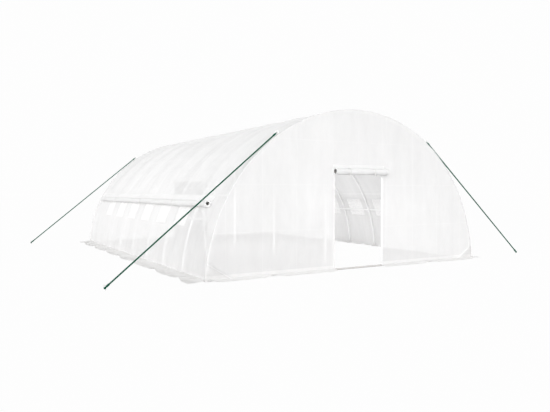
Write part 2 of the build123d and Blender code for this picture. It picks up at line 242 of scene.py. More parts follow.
class Signal:
    """One output of a material's nodes, with arithmetic that adds Math nodes."""

    def __init__(self, recipe: "Recipe", socket: bpy.types.NodeSocket) -> None:
        """Keeps the recipe and the socket."""
        self.recipe = recipe
        self.socket = socket

    def _math(self, operation: str, first: Any, second: Any) -> "Signal":
        """A Math node on two values."""
        return self.recipe.add("ShaderNodeMath", {"operation": operation}, {0: first, 1: second})

    def __add__(self, other: Any) -> "Signal":
        """self + other."""
        return self._math("ADD", self, other)

    def __radd__(self, other: Any) -> "Signal":
        """other + self."""
        return self._math("ADD", other, self)

    def __sub__(self, other: Any) -> "Signal":
        """self - other."""
        return self._math("SUBTRACT", self, other)

    def __rsub__(self, other: Any) -> "Signal":
        """other - self."""
        return self._math("SUBTRACT", other, self)

    def __mul__(self, other: Any) -> "Signal":
        """self * other."""
        return self._math("MULTIPLY", self, other)

    def __rmul__(self, other: Any) -> "Signal":
        """other * self."""
        return self._math("MULTIPLY", other, self)

    def __truediv__(self, other: Any) -> "Signal":
        """self / other."""
        return self._math("DIVIDE", self, other)

    def __abs__(self) -> "Signal":
        """The value without its sign."""
        return self._math("ABSOLUTE", self, 0.0)

    def most(self, other: Any) -> "Signal":
        """The larger of two values."""
        return self._math("MAXIMUM", self, other)

    def least(self, other: Any) -> "Signal":
        """The smaller of two values."""
        return self._math("MINIMUM", self, other)

    def back_and_forth(self, length: float) -> "Signal":
        """The value folded to and fro between 0 and a length."""
        return self._math("PINGPONG", self, length)

    def step(self, low: float, high: float) -> "Signal":
        """Makes a smooth step, which falls where low is the larger.

        Args:
            low: Where it is 0.
            high: Where it is 1.

        Returns:
            The step as a signal.
        """
        settings = {"interpolation_type": "SMOOTHSTEP"}
        sockets = {"Value": self, "From Min": low, "From Max": high}
        return self.recipe.add("ShaderNodeMapRange", settings, sockets)

    def band(self, centre: float, half: float, soft: float) -> "Signal":
        """1 within half a width of a centre, falling softly to 0 outside."""
        return abs(self - centre).step(half + soft, half)


class Recipe:
    """The node tree of a material or a world."""

    def __init__(self, owner: bpy.types.Material | bpy.types.World) -> None:
        """Clears the owner's nodes.

        Args:
            owner: The material or world.
        """
        self.owner = owner
        owner.use_nodes = True
        owner.node_tree.nodes.clear()

    def add(
        self,
        kind: str,
        settings: Mapping[str, Any] | None = None,
        sockets: Mapping[Any, Any] | None = None,
        output: Any = 0,
    ) -> Signal | None:
        """Adds a node.

        Args:
            kind: The node's type.
            settings: What is set on the node itself.
            sockets: The values or links of its inputs, by name or number.
            output: The output that is returned, by name or number.

        Returns:
            The output as a signal, or None from a node with no outputs.
        """
        node = self.owner.node_tree.nodes.new(kind)
        for key, value in (settings or {}).items():
            setattr(node, key, value)
        for key, value in (sockets or {}).items():
            if isinstance(value, Signal):
                self.owner.node_tree.links.new(value.socket, node.inputs[key])
            else:
                node.inputs[key].default_value = value
        return Signal(self, node.outputs[output]) if node.outputs else None

    def place(self) -> Signal:
        """The place in the object's own coordinates."""
        return self.add("ShaderNodeTexCoord", output="Object")

    def cut(self) -> Signal:
        """The place on the flat cut sheet, in metres, from its UV map."""
        return self.add("ShaderNodeUVMap", {"uv_map": "cut"})

    def axes(self, place: Signal) -> tuple[Signal, Signal, Signal]:
        """A vector's three numbers."""
        return tuple(self.add("ShaderNodeSeparateXYZ", None, {0: place}, key) for key in "XYZ")

    def cloud(self, place: Signal, scale: float, detail: float = 3.0, rough: float = 0.5) -> Signal:
        """Noise from 0 to 1."""
        sockets = {"Vector": place, "Scale": scale, "Detail": detail, "Roughness": rough}
        return self.add("ShaderNodeTexNoise", None, sockets)

    def stretch(self, place: Signal, scale: Sequence[float]) -> Signal:
        """A vector scaled along its axes."""
        return self.add("ShaderNodeVectorMath", {"operation": "MULTIPLY"}, {0: place, 1: scale})

    def blend(self, share: Any, first: Any, second: Any) -> Signal:
        """A mix of two colours."""
        sockets = {0: share, 6: first, 7: second}
        return self.add("ShaderNodeMix", {"data_type": "RGBA"}, sockets, 2)

    def bump(self, height: Signal, distance: float, strength: float = 1.0) -> Signal:
        """A normal raised by a height from 0 to 1."""
        sockets = {"Height": height, "Distance": distance, "Strength": strength}
        return self.add("ShaderNodeBump", None, sockets, "Normal")

    def ray(self, question: str) -> Signal:
        """What the Light Path node answers about the ray that meets the surface."""
        return self.add("ShaderNodeLightPath", output=question)

    def in_plain_sight(self) -> Signal:
        """1 where the camera, a mirror or glass sees this with no film before it, or else 0."""
        seen = self.ray("Is Camera Ray").most(self.ray("Is Glossy Ray")).most(self.ray("Is Transmission Ray"))
        return seen * self.ray("Transparent Depth").step(0.6, 0.4)

    def skin(self, sockets: Mapping[str, Any]) -> Signal:
        """A Principled surface."""
        return self.add("ShaderNodeBsdfPrincipled", None, sockets)

    def either(self, share: Any, first: Signal, second: Signal) -> Signal:
        """A mix of two shaders."""
        return self.add("ShaderNodeMixShader", None, {0: share, 1: first, 2: second})

    def lit_through(self, skin: Signal, glow: float, colour: Colour) -> Signal:
        """A skin that a share of the light comes through."""
        return self.either(glow, skin, self.add("ShaderNodeBsdfTranslucent", None, {"Color": colour}))

    def close(self, shader: Signal) -> bpy.types.Material | bpy.types.World:
        """Links the shader to an output node and returns the owner."""
        self.add("ShaderNodeOutput" + type(self.owner).__name__, None, {"Surface": shader})
        return self.owner


@dataclass(frozen=True)
class FilmFinish:
    """White translucent sheet: woven threads, seams, creases, and where asked a tuck with painted shade below
    its crease, or painted shade in the hollow core of a roll.
    """

    name: str
    colour: Colour = (0.955, 0.955, 0.955, 1.0)
    thread_colour: Colour = (0.98, 0.98, 0.98, 1.0)
    # The colour of dust, also used for the painted shade of a tuck and of the ground flaps.
    dust_colour: Colour = (0.76, 0.75, 0.735, 1.0)
    opacity: float = 0.63
    glow: float = 0.20
    streaks: float = 0.34
    thread_pitch: float = 0.010
    thread_width: float = 0.0012
    crease_pitch: tuple[float, float] = (0.66, 0.76)
    dust: float = 0.35
    seams: tuple[float, ...] = ()
    seam_half: float = 0.016
    weld: float = 0.06
    tucked: bool = False
    # Painted shade in a roll's hollow core: how far along the sheet from its inner edge it reaches, and its
    # near-black colour.
    soiled_hem: float = 0.0
    soil_colour: Colour = (0.16, 0.15, 0.14, 1.0)

    def make(self) -> bpy.types.Material:
        """Makes the film's nodes, on the UV map of its flat cut.

        Returns:
            The material.
        """
        recipe = Recipe(bpy.data.materials.new(self.name))
        flat = recipe.cut()
        across, around, _ = recipe.axes(flat)
        place = recipe.place()
        half = self.thread_pitch / 2
        weave = [
            line.back_and_forth(half).step(self.thread_width, self.thread_width / 2)
            for line in (across, around)
        ]
        threads = weave[0].most(weave[1])
        broad = recipe.cloud(recipe.stretch(flat, (3.2, 0.75, 0.0)), 1.0, 5.0, 0.6)
        clouds = broad * 0.6 + recipe.cloud(recipe.stretch(flat, (9.0, 2.6, 0.0)), 1.0, 6.0, 0.7) * 0.4
        crumple = recipe.cloud(recipe.stretch(place, (1.0, 1.0, 0.45)), 7.0, 5.0, 0.62)
        creases = [
            (line + recipe.cloud(place, 2.0, 2.0) * 0.03).back_and_forth(pitch / 2).step(0.006, 0.0)
            for line, pitch in zip((across, around), self.crease_pitch)
        ]
        folds = creases[0].most(creases[1])
        welds: Any = 0.0
        for middle in self.seams:
            welds = around.band(middle, self.seam_half, 0.002).most(welds)
        height = recipe.axes(place)[2]
        # Darker near the ground in cloudy patches: dust, and on the ground flaps also painted shade.
        dust = height.step(0.38, 0.02) * recipe.cloud(place, 5.0, 5.0, 0.65).step(0.35, 0.75) * self.dust
        dust_and_tuck_shade = dust
        # On a tucked sheet, painted shade darkens the triangle below the tuck's crease towards the dust
        # colour, and a thin line along the crease is made more opaque, a painted highlight.
        if self.tucked:
            fold = (abs(across) - TUCK_START) * TUCK_SLOPE - around
            dust_and_tuck_shade = dust_and_tuck_shade.most(fold.step(0.0, 0.012) * (0.25 + clouds * 0.3))
            folds = folds.most(fold.band(0.0, 0.004, 0.008) * fold.step(-0.30, -0.20) * 2.5)
        tone = recipe.blend(threads * 0.6, self.colour, self.thread_colour)
        tone = recipe.blend(dust_and_tuck_shade, tone, self.dust_colour)
        # Painted shade: the turns of a rolled sheet nearest its hollow core are darkened almost to black, so
        # that the core looks dark.
        if self.soiled_hem > 0:
            hem = around.step(self.soiled_hem, self.soiled_hem * 0.9) * (0.75 + crumple * 0.3)
            tone = recipe.blend(hem, tone, self.soil_colour)
        cover = self.opacity + (clouds - 0.5) * self.streaks + threads * 0.10 + folds * 0.06
        cover = (cover + welds * self.weld + dust * 0.25).least(0.97)
        relief = crumple * 0.30 + folds * 0.10 + welds * 0.10 + threads * 0.03
        sockets = {
            "Base Color": tone,
            "Roughness": 0.36 + clouds * 0.14 + threads * 0.06 + dust * 0.4,
            "Alpha": cover,
            "Specular IOR Level": 0.35,
            "Normal": recipe.bump(relief, 0.012, 0.6),
        }
        return recipe.close(recipe.lit_through(recipe.skin(sockets), self.glow, self.colour))


@dataclass(frozen=True)
class NetFinish:
    """Fine white insect net, whose holes show what is behind it."""

    name: str
    colour: Colour = (0.93, 0.93, 0.93, 1.0)
    worn_colour: Colour = (0.87, 0.87, 0.86, 1.0)
    pitch: float = 0.004
    thread: float = 0.0015
    film: float = 0.34
    glow: float = 0.12

    def make(self) -> bpy.types.Material:
        """Makes the net's nodes, on the UV map of its flat cut.

        Returns:
            The material.
        """
        recipe = Recipe(bpy.data.materials.new(self.name))
        across, around, _ = recipe.axes(recipe.cut())
        lines = [
            line.back_and_forth(self.pitch / 2).step(self.thread, self.thread * 0.6)
            for line in (across, around)
        ]
        threads = lines[0].most(lines[1])
        worn = recipe.cloud(recipe.place(), 9.0, 4.0)
        tone = recipe.blend(worn.step(0.4, 0.8) * 0.15, self.colour, self.worn_colour)
        sockets = {
            "Base Color": tone,
            "Roughness": 0.62 + worn * 0.12,
            "Alpha": threads * 0.68 + self.film,
            "Normal": recipe.bump(lines[0] + lines[1], 0.0003, 0.5),
        }
        return recipe.close(recipe.lit_through(recipe.skin(sockets), self.glow, self.colour))


@dataclass(frozen=True)
class ZincFinish:
    """Hot-dipped zinc on steel tube: pale, with a faint spangle, rubbed and duller in patches."""

    name: str
    colour: Colour = (0.89, 0.89, 0.89, 1.0)
    dull_colour: Colour = (0.81, 0.815, 0.82, 1.0)
    stain_colour: Colour = (0.48, 0.46, 0.44, 1.0)
    metal: float = 0.08
    spangle: float = 85.0
    trodden: float = 0.0

    def make(self) -> bpy.types.Material:
        """Makes the zinc's nodes, on Object coordinates.

        Returns:
            The material.
        """
        recipe = Recipe(bpy.data.materials.new(self.name))
        place = recipe.place()
        flakes = recipe.add("ShaderNodeTexVoronoi", None, {"Vector": place, "Scale": self.spangle}, "Color")
        flake = recipe.axes(flakes)[0]
        patches = recipe.cloud(place, 4.0, 5.0, 0.6)
        scratches = recipe.cloud(recipe.stretch(place, (160.0, 9.0, 160.0)), 1.0, 2.0)
        dull = (patches.step(0.42, 0.72) * 0.7 + flake * 0.25).least(1.0)
        stain_and_sill_shade = recipe.axes(place)[2].step(0.16, 0.0) * patches.step(0.38, 0.6) * 0.5
        # Where asked, painted shade darkens the whole tube towards the stain colour, as on the door sills;
        # the patchy stains near the ground are real.
        if self.trodden > 0:
            stain_and_sill_shade = stain_and_sill_shade.most(self.trodden * (0.75 + patches * 0.4))
        tone = recipe.blend(dull, self.colour, self.dull_colour)
        tone = recipe.blend(stain_and_sill_shade, tone, self.stain_colour)
        sockets = {
            "Base Color": tone,
            "Metallic": self.metal * (1.0 - stain_and_sill_shade),
            "Roughness": 0.30 + flake * 0.10 + patches * 0.14 + stain_and_sill_shade * 0.3,
            "Normal": recipe.bump(flake * 0.35 + scratches * 0.4, 0.0004),
        }
        return recipe.close(recipe.skin(sockets))


@dataclass(frozen=True)
class WebbingFinish:
    """Woven strap: fine cross ribs, slightly furred and faded."""

    name: str
    colour: Colour = (0.80, 0.80, 0.79, 1.0)
    worn_colour: Colour = (0.60, 0.60, 0.58, 1.0)
    rib: float = 0.0022

    def make(self) -> bpy.types.Material:
        """Makes the strap's nodes, on Object coordinates.

        Returns:
            The material.
        """
        recipe = Recipe(bpy.data.materials.new(self.name))
        place = recipe.place()
        fine = recipe.cloud(place, 900.0, 2.0)
        faded = recipe.cloud(place, 24.0, 4.0)
        slope = recipe.axes(place)
        ribs = (slope[0] + slope[1] * 0.6 + slope[2]).back_and_forth(self.rib / 2) / (self.rib / 2)
        tone = recipe.blend(faded.step(0.45, 0.8) * 0.6 + ribs * 0.2, self.colour, self.worn_colour)
        sockets = {
            "Base Color": tone,
            "Roughness": 0.78 + fine * 0.16,
            "Normal": recipe.bump(ribs * 0.7 + fine * 0.3, 0.0006),
        }
        return recipe.close(recipe.skin(sockets))


@dataclass(frozen=True)
class RopeFinish:
    """Dark green laid rope: fibres along the strands, paler where the strands stand proud."""

    name: str
    colour: Colour = (0.003, 0.082, 0.046, 1.0)
    pale_colour: Colour = (0.010, 0.165, 0.100, 1.0)

    def make(self) -> bpy.types.Material:
        """Makes the rope's nodes, on Object coordinates.

        Returns:
            The material.
        """
        recipe = Recipe(bpy.data.materials.new(self.name))
        place = recipe.place()
        fibres = recipe.cloud(recipe.stretch(place, (260.0, 700.0, 260.0)), 1.0, 3.0, 0.6)
        worn = recipe.cloud(place, 7.0, 4.0)
        tone = recipe.blend(fibres.step(0.45, 0.75) * (0.35 + worn * 0.4), self.colour, self.pale_colour)
        sockets = {
            "Base Color": tone,
            "Roughness": 0.66 + fibres * 0.2,
            "Specular IOR Level": 0.1,
            "Normal": recipe.bump(fibres, 0.0009),
        }
        return recipe.close(recipe.skin(sockets))


@dataclass(frozen=True)
class FloorFinish:
    """The studio floor: matt and pale, white in plain sight, with a much darker colour, a painted shade,
    where camera rays reach it through the film.
    """

    name: str
    colour: Colour = (0.75, 0.74, 0.74, 1.0)
    veiled_colour: Colour = (0.36, 0.35, 0.35, 1.0)
    lift: float = 0.98

    def make(self) -> bpy.types.Material:
        """Makes the floor's nodes.

        Returns:
            The material.
        """
        recipe = Recipe(bpy.data.materials.new(self.name))
        grain = recipe.cloud(recipe.place(), 3.0, 2.0)
        # Painted shade: camera rays, also those that come through the film, see the darker colour; in plain
        # sight the white lift covers it.
        sockets = {
            "Base Color": recipe.blend(recipe.ray("Is Camera Ray"), self.colour, self.veiled_colour),
            "Roughness": 0.92 + grain * 0.06,
            "Specular IOR Level": 0.0,
        }
        white = recipe.add("ShaderNodeEmission", None, {"Color": WHITE})
        return recipe.close(recipe.either(recipe.in_plain_sight() * self.lift, recipe.skin(sockets), white))


class Piece:
    """A mesh in the making, and the object that it becomes."""

    def __init__(self, name: str) -> None:
        """Starts an empty mesh under a piece's name."""
        self.name = name
        self.mesh = bmesh.new()

    def tube(self, start: Vector, end: Vector, radius: float, sides: int = 16, chamfer: float = 0.0) -> None:
        """Adds a straight round bar.

        Args:
            start: The middle of its first end.
            end: The middle of its other end.
            radius: Its radius.
            sides: The number of its sides.
            chamfer: How far its rims are rounded.
        """
        way = end - start
        made = bmesh.ops.create_cone(
            self.mesh,
            cap_ends=True,
            segments=sides,
            radius1=radius,
            radius2=radius,
            depth=way.length,
            matrix=Matrix.Translation((start + end) / 2) @ pointed(way),
        )["verts"]
        if chamfer > 0:
            flanks = [(edge, *edge.link_faces) for edge in edges_of(made)]
            self.round_off([edge for edge, one, two in flanks if len(one.verts) != len(two.verts)], chamfer)

    def round_off(self, edges: Sequence[bmesh.types.BMEdge], offset: float) -> None:
        """Rounds edges by an offset."""
        shape = {"segments": 2, "profile": 0.5, "affect": "EDGES", "material": -1}
        bmesh.ops.bevel(self.mesh, geom=edges, offset=offset, **shape)

    def block(self, size: Sequence[float], spot: Matrix, chamfer: float) -> None:
        """Adds a block of a size at a spot, its edges rounded by a chamfer."""
        spot = spot @ Matrix.Diagonal((*size, 1.0))
        self.round_off(edges_of(bmesh.ops.create_cube(self.mesh, size=1.0, matrix=spot)["verts"]), chamfer)

    def circle(self, spot: Matrix, radius: float, sides: int) -> list:
        """Adds a round outline at a spot and returns its vertices and edges."""
        ring = bmesh.ops.create_circle(self.mesh, segments=sides, radius=radius, matrix=spot)["verts"]
        return ring + edges_of(ring)

    def grid(
        self, width: float, height: float, segments: Sequence[int], middle: Sequence[float] = (0.0, 0.0)
    ) -> None:
        """Adds a flat grid.

        Args:
            width: Its width along x.
            height: Its height along y.
            segments: How many columns and rows it has.
            middle: The place of its middle.
        """
        spot = moved(*middle, 0) @ Matrix.Diagonal((width / 2, height / 2, 1.0, 1.0))
        columns, rows = segments
        bmesh.ops.create_grid(self.mesh, x_segments=columns, y_segments=rows, size=1.0, matrix=spot)

    def sweep(
        self,
        geometry: list,
        centre: Sequence[float],
        axis: Sequence[float],
        angle: float,
        steps: int,
        **more: Any,
    ) -> list:
        """Spins geometry.

        Args:
            geometry: What is spun.
            centre: A point of the axis.
            axis: The axis that it turns about.
            angle: How far it turns.
            steps: In how many steps.
            more: Further settings of the spin.

        Returns:
            What the last step made.
        """
        turn = {"cent": centre, "axis": axis, "angle": angle, "steps": steps, **more}
        return bmesh.ops.spin(self.mesh, geom=geometry, **turn)["geom_last"]

    def turn_about(self, geometry: list, spot: Matrix, sides: int) -> None:
        """Spins geometry once round the z axis of a spot and closes it."""
        self.sweep(geometry, spot.translation, spot.to_3x3().col[2], math.tau, sides, use_merge=True)

    def band(self, spot: Matrix, radius: float, width: float, wall: float, sides: int = 16) -> None:
        """Adds a flat band round the z axis of a spot.

        Args:
            spot: The band's middle and turn.
            radius: Its inner radius.
            width: Its width along the axis.
            wall: Its thickness, outwards.
            sides: The number of its sides.
        """
        half, outer = width / 2, radius + wall
        corners = ((radius, 0, -half), (outer, 0, -half), (outer, 0, half), (radius, 0, half))
        profile = [self.mesh.verts.new(spot @ Vector(at)) for at in corners]
        edges = [self.mesh.edges.new((profile[at - 1], profile[at])) for at in range(4)]
        self.turn_about(profile + edges, spot, sides)

    def loop(self, spot: Matrix, radius: float, thick: float, sides: int, section: int) -> None:
        """Adds a closed ring of round section about the z axis of a spot.

        Args:
            spot: The ring's middle and turn.
            radius: The radius of its centre line.
            thick: The radius of its section.
            sides: The number of its steps.
            section: The number of sides of its section.
        """
        stand = spot @ moved(radius, 0, 0) @ turned(QUARTER, "X")
        self.turn_about(self.circle(stand, thick, section), spot, sides)

    def bolt(self, spot: Matrix, across: float = 0.013, thick: float = 0.006) -> None:
        """Adds a hexagon head on a washer at a spot, standing along its z.

        Args:
            spot: Where the washer lies.
            across: The head's width.
            thick: The head's height.
        """
        seat, top, end = (spot @ Vector((0, 0, rise)) for rise in (0, WASHER, WASHER + thick))
        self.tube(seat, top, across * WASHER_SHARE, 12)
        self.tube(top, end, across / 2, 6, BOLT_ROUNDING)

    def cap(self) -> None:
        """Closes the open ends of tubes."""
        bmesh.ops.holes_fill(self.mesh, edges=[edge for edge in self.mesh.edges if edge.is_boundary])

    def stamp(self, pattern: "Piece", spots: Iterable[Matrix] = (Matrix.Identity(4),)) -> None:
        """Adds copies of another piece's mesh, which is then freed.

        Args:
            pattern: The piece to copy.
            spots: Where the copies go.
        """
        shape = bpy.data.meshes.new("pattern")
        pattern.mesh.to_mesh(shape)
        pattern.mesh.free()
        for spot in spots:
            copy = shape.copy()
            copy.transform(spot)
            self.mesh.from_mesh(copy)
            bpy.data.meshes.remove(copy)
        bpy.data.meshes.remove(shape)

    def lay_flat(self, place: Callable[[Vector], Sequence[float]] = lambda at: at.xy) -> None:
        """Writes the UV map of the flat cut, in metres.

        Args:
            place: Gives a vertex's place on the flat sheet.
        """
        layer = self.mesh.loops.layers.uv.new("cut")
        for face in self.mesh.faces:
            for corner in face.loops:
                corner[layer].uv = place(corner.vert.co)

    def shift(self, place: Placer) -> None:
        """Carries every vertex to another place."""
        for vert in self.mesh.verts:
            vert.co = place(vert.co)

    def slice(self, point: Vector, normal: Vector) -> None:
        """Cuts every face that a plane crosses, and keeps both halves."""
        everything = [*self.mesh.verts, *self.mesh.edges, *self.mesh.faces]
        bmesh.ops.bisect_plane(self.mesh, geom=everything, dist=SAME, plane_co=point, plane_no=normal)

    def slice_at(self, axis: str, place: float) -> None:
        """Cuts square across the x, y or z axis at a place."""
        normal = Vector((axis == "x", axis == "y", axis == "z"))
        self.slice(normal * place, normal)

    def open(self, inside: Callable[[Vector], bool]) -> None:
        """Removes the faces whose middles lie inside an opening."""
        gone = [face for face in self.mesh.faces if inside(face.calc_center_median())]
        bmesh.ops.delete(self.mesh, geom=gone, context="FACES")

    def finish_mesh(self, finish: bpy.types.Material) -> bpy.types.Object:
        """Makes the mesh an object of the scene.

        Args:
            finish: Its material.

        Returns:
            The object.
        """
        shape = bpy.data.meshes.new(self.name)
        self.mesh.to_mesh(shape)
        self.mesh.free()
        shape.materials.append(finish)
        made = bpy.data.objects.new(self.name, shape)
        bpy.context.scene.collection.objects.link(made)
        LOG.info("%s: %d faces", self.name, len(shape.polygons))
        return made

    def settle(
        self,
        finish: bpy.types.Material,
        slot: Slot,
        stands_for: Sequence[str] = (),
        sharp: float = 0.7,
        outward: bool = True,
    ) -> bpy.types.Object:
        """Makes the object and hands it to the frame.

        Args:
            finish: Its material.
            slot: The record's slot; not used.
            stands_for: The CAD nodes that it replaces.
            sharp: The angle from which an edge stays sharp.
            outward: Whether its faces are turned outwards.

        Returns:
            The object.
        """
        if outward:
            bmesh.ops.recalc_face_normals(self.mesh, faces=self.mesh.faces)
        for face in self.mesh.faces:
            face.smooth = True
        for edge in self.mesh.edges:
            edge.smooth = len(edge.link_faces) != 2 or edge.calc_face_angle(0.0) < sharp
        made = self.finish_mesh(finish)
        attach(made, "root")
        if stands_for:
            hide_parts(*stands_for)
        return made

    def repeat(
        self,
        name: str,
        spots: Iterable[Matrix],
        finish: bpy.types.Material,
        slot: Slot,
        stands_for: Sequence[str] = (),
        sharp: float = 0.7,
    ) -> None:
        """Settles a piece that is made of copies of this one.

        Args:
            name: The new piece's name.
            spots: Where the copies go.
            finish: Its material.
            slot: The record's slot, handed on.
            stands_for: The CAD nodes that it replaces.
            sharp: The angle from which an edge stays sharp.
        """
        piece = Piece(name)
        piece.stamp(self, spots)
        piece.settle(finish, slot, stands_for, sharp)


@dataclass
class HoopFrame:
    """The bent hoops, the sleeves over their joints and the plates that they stand on."""

    layout: Layout
    zinc: bpy.types.Material
    sections: int = 5
    foot_plate: float = 0.005
    foot_width: float = 0.100
    foot_length: float = 0.056
    sleeve_length: float = 0.100
    sleeve_wall: float = 0.0024
    sleeve_fit: float = 0.0004
    sleeve_bolt_share: float = 0.55
    bolt_sink: float = 0.0008
    foot_rounding: float = 0.0015
    anchor_inset: float = 0.014
    anchor_share: float = 0.3
    steps: int = 84

    @property
    def foot_angle(self) -> float:
        """Where a hoop starts round its arc."""
        inner = self.layout.hoop_radius - self.layout.hoop_tube / 2
        return self.layout.angle_at(self.foot_plate + FIT, inner)

    def build(self) -> list[str]:
        """Builds every hoop with its sleeves and feet.

        Returns:
            The hoops' names.
        """
        nodes = ["front_hoop", *(f"hoop_{count}" for count in range(2, 9)), "rear_hoop"]
        hoops = [
            self.hoop(f"hoop_tube_{count}", place, node)
            for count, (place, node) in enumerate(zip(self.layout.hoop_places, nodes), 1)
        ]
        self.sleeves()
        self.feet()
        return hoops

    def hoop(self, name: str, place: float, node: str) -> str:
        """Builds one bent tube.

        Args:
            name: Its name.
            place: Where it stands along the tunnel.
            node: The CAD node that it replaces.

        Returns:
            The name of the hoop's object.
        """
        piece, layout = Piece(name), self.layout
        start = layout.radial(self.foot_angle, place) @ moved(layout.hoop_radius, 0, 0)
        ring = piece.circle(start, layout.hoop_tube / 2, 16)
        angle = math.pi - 2 * self.foot_angle
        piece.sweep(ring, (0, place, layout.arc_centre), (0, -1, 0), angle, self.steps)
        piece.cap()
        return piece.settle(self.zinc, Slot.STEEL, [node]).name

    def sleeves(self) -> None:
        """Builds the sleeves over the joints, each with two bolts through it."""
        layout, wall = self.layout, self.sleeve_wall
        pattern = Piece("sleeve")
        radius = layout.hoop_tube / 2 + self.sleeve_fit
        pattern.band(Matrix.Identity(4), radius, self.sleeve_length, wall, 20)
        for at in (-1, 1):
            for way in (-1, 1):
                outside = way * (radius + wall - self.bolt_sink)
                rise = at * self.sleeve_length / 2 * self.sleeve_bolt_share
                pattern.bolt(moved(0, outside, rise) @ turned(-way * QUARTER, "X"))
        section = (math.pi - 2 * self.foot_angle) / self.sections
        out = moved(layout.hoop_radius - self.sleeve_fit, 0, 0)
        spots = [
            layout.radial(self.foot_angle + section * joint, place) @ out
            for place in layout.hoop_places
            for joint in range(1, self.sections)
        ]
        pattern.repeat("joint_sleeves", spots, self.zinc, Slot.STEEL, ["hoop_sleeves"])

    def feet(self) -> None:
        """Builds the foot plates, each with two anchor bolts."""
        layout = self.layout
        outer = (layout.hoop_radius + layout.hoop_tube / 2) * math.cos(self.foot_angle)
        pattern = Piece("foot")
        middle = moved(outer - self.foot_width / 2, 0, self.foot_plate / 2)
        size = (self.foot_width, self.foot_length, self.foot_plate)
        pattern.block(size, middle, self.foot_rounding)
        inside = outer - self.foot_width + self.anchor_inset
        for way in (-1, 1):
            pattern.bolt(moved(inside, way * self.foot_length * self.anchor_share, self.foot_plate))
        spots = [mirrored(moved(0, at, 0), side) for at in layout.hoop_places for side in Side]
        pattern.repeat("foot_plates", spots, self.zinc, Slot.STEEL, ["hoop_feet"])


@dataclass
class PurlinSet:
    """The tubes along the tunnel and the clamps that hold them to the hoops."""

    layout: Layout
    zinc: bpy.types.Material
    overhang: float = 0.026
    side_height: float = 0.93
    roof_strips: int = 6
    clamp_width: float = 0.046
    clamp_wall: float = 0.0028
    clamp_rounding: float = 0.001
    end_rounding: float = 0.0015
    web: tuple[float, float, float] = (0.007, 0.026, 0.026)
    web_drop: float = 0.0025
    ear: tuple[float, float, float] = (0.022, 0.006, 0.030)
    ear_inset: float = 0.006
    ear_place: float = 0.0245
    nut: tuple[float, float] = (0.012, 0.004)
    nut_place: float = 0.0268

    @property
    def angles(self) -> list[float]:
        """Finds where the purlins lie round the arc.

        Returns:
            Their angles, from the right foot to the left one.
        """
        seam = self.layout.seam_angle
        shoulder = seam + (math.pi - 2 * seam) / self.roof_strips
        right = [self.layout.angle_at(self.side_height, self.layout.purlin_radius), shoulder]
        return [*right, QUARTER, *(math.pi - angle for angle in reversed(right))]

    def build(self) -> None:
        """Builds the purlins and their clamps."""
        self.tubes()
        self.clamps()

    def tubes(self) -> None:
        """Builds the five purlins."""
        piece, layout = Piece("purlin_tubes"), self.layout
        reach = layout.length / 2 + self.overhang
        for angle in self.angles:
            ends = [layout.point(layout.purlin_radius, angle, way * reach) for way in (-1, 1)]
            piece.tube(*ends, layout.purlin_tube / 2, 16, self.end_rounding)
        piece.settle(self.zinc, Slot.STEEL, ["ridge_purlin", "shoulder_purlins", "side_purlins"])

    def clamps(self) -> None:
        """Builds the cross clamps: a band round the hoop, a band round the purlin and bolts between."""
        pattern, layout = Piece("clamp"), self.layout
        lying = moved(layout.purlin_radius, 0, 0) @ turned(QUARTER, "X")
        standing = moved(layout.hoop_radius, 0, 0)
        for spot, tube in ((standing, layout.hoop_tube), (lying, layout.purlin_tube)):
            pattern.band(spot, tube / 2 + FIT, self.clamp_width, self.clamp_wall)
        between = moved(layout.hoop_radius - layout.hoop_tube / 2 - self.web_drop, 0, 0)
        pattern.block(self.web, between, self.clamp_rounding)
        inside = layout.hoop_radius - self.ear_inset
        for way in (-1, 1):
            pattern.block(self.ear, moved(inside, way * self.ear_place, 0), self.clamp_rounding)
            pattern.bolt(moved(inside, way * self.nut_place, 0) @ turned(-way * QUARTER, "X"), *self.nut)
        spots = [layout.radial(angle, at) for at in layout.hoop_places for angle in self.angles]
        pattern.repeat("crossing_clamps", spots, self.zinc, Slot.STEEL, ["purlin_clamps"])


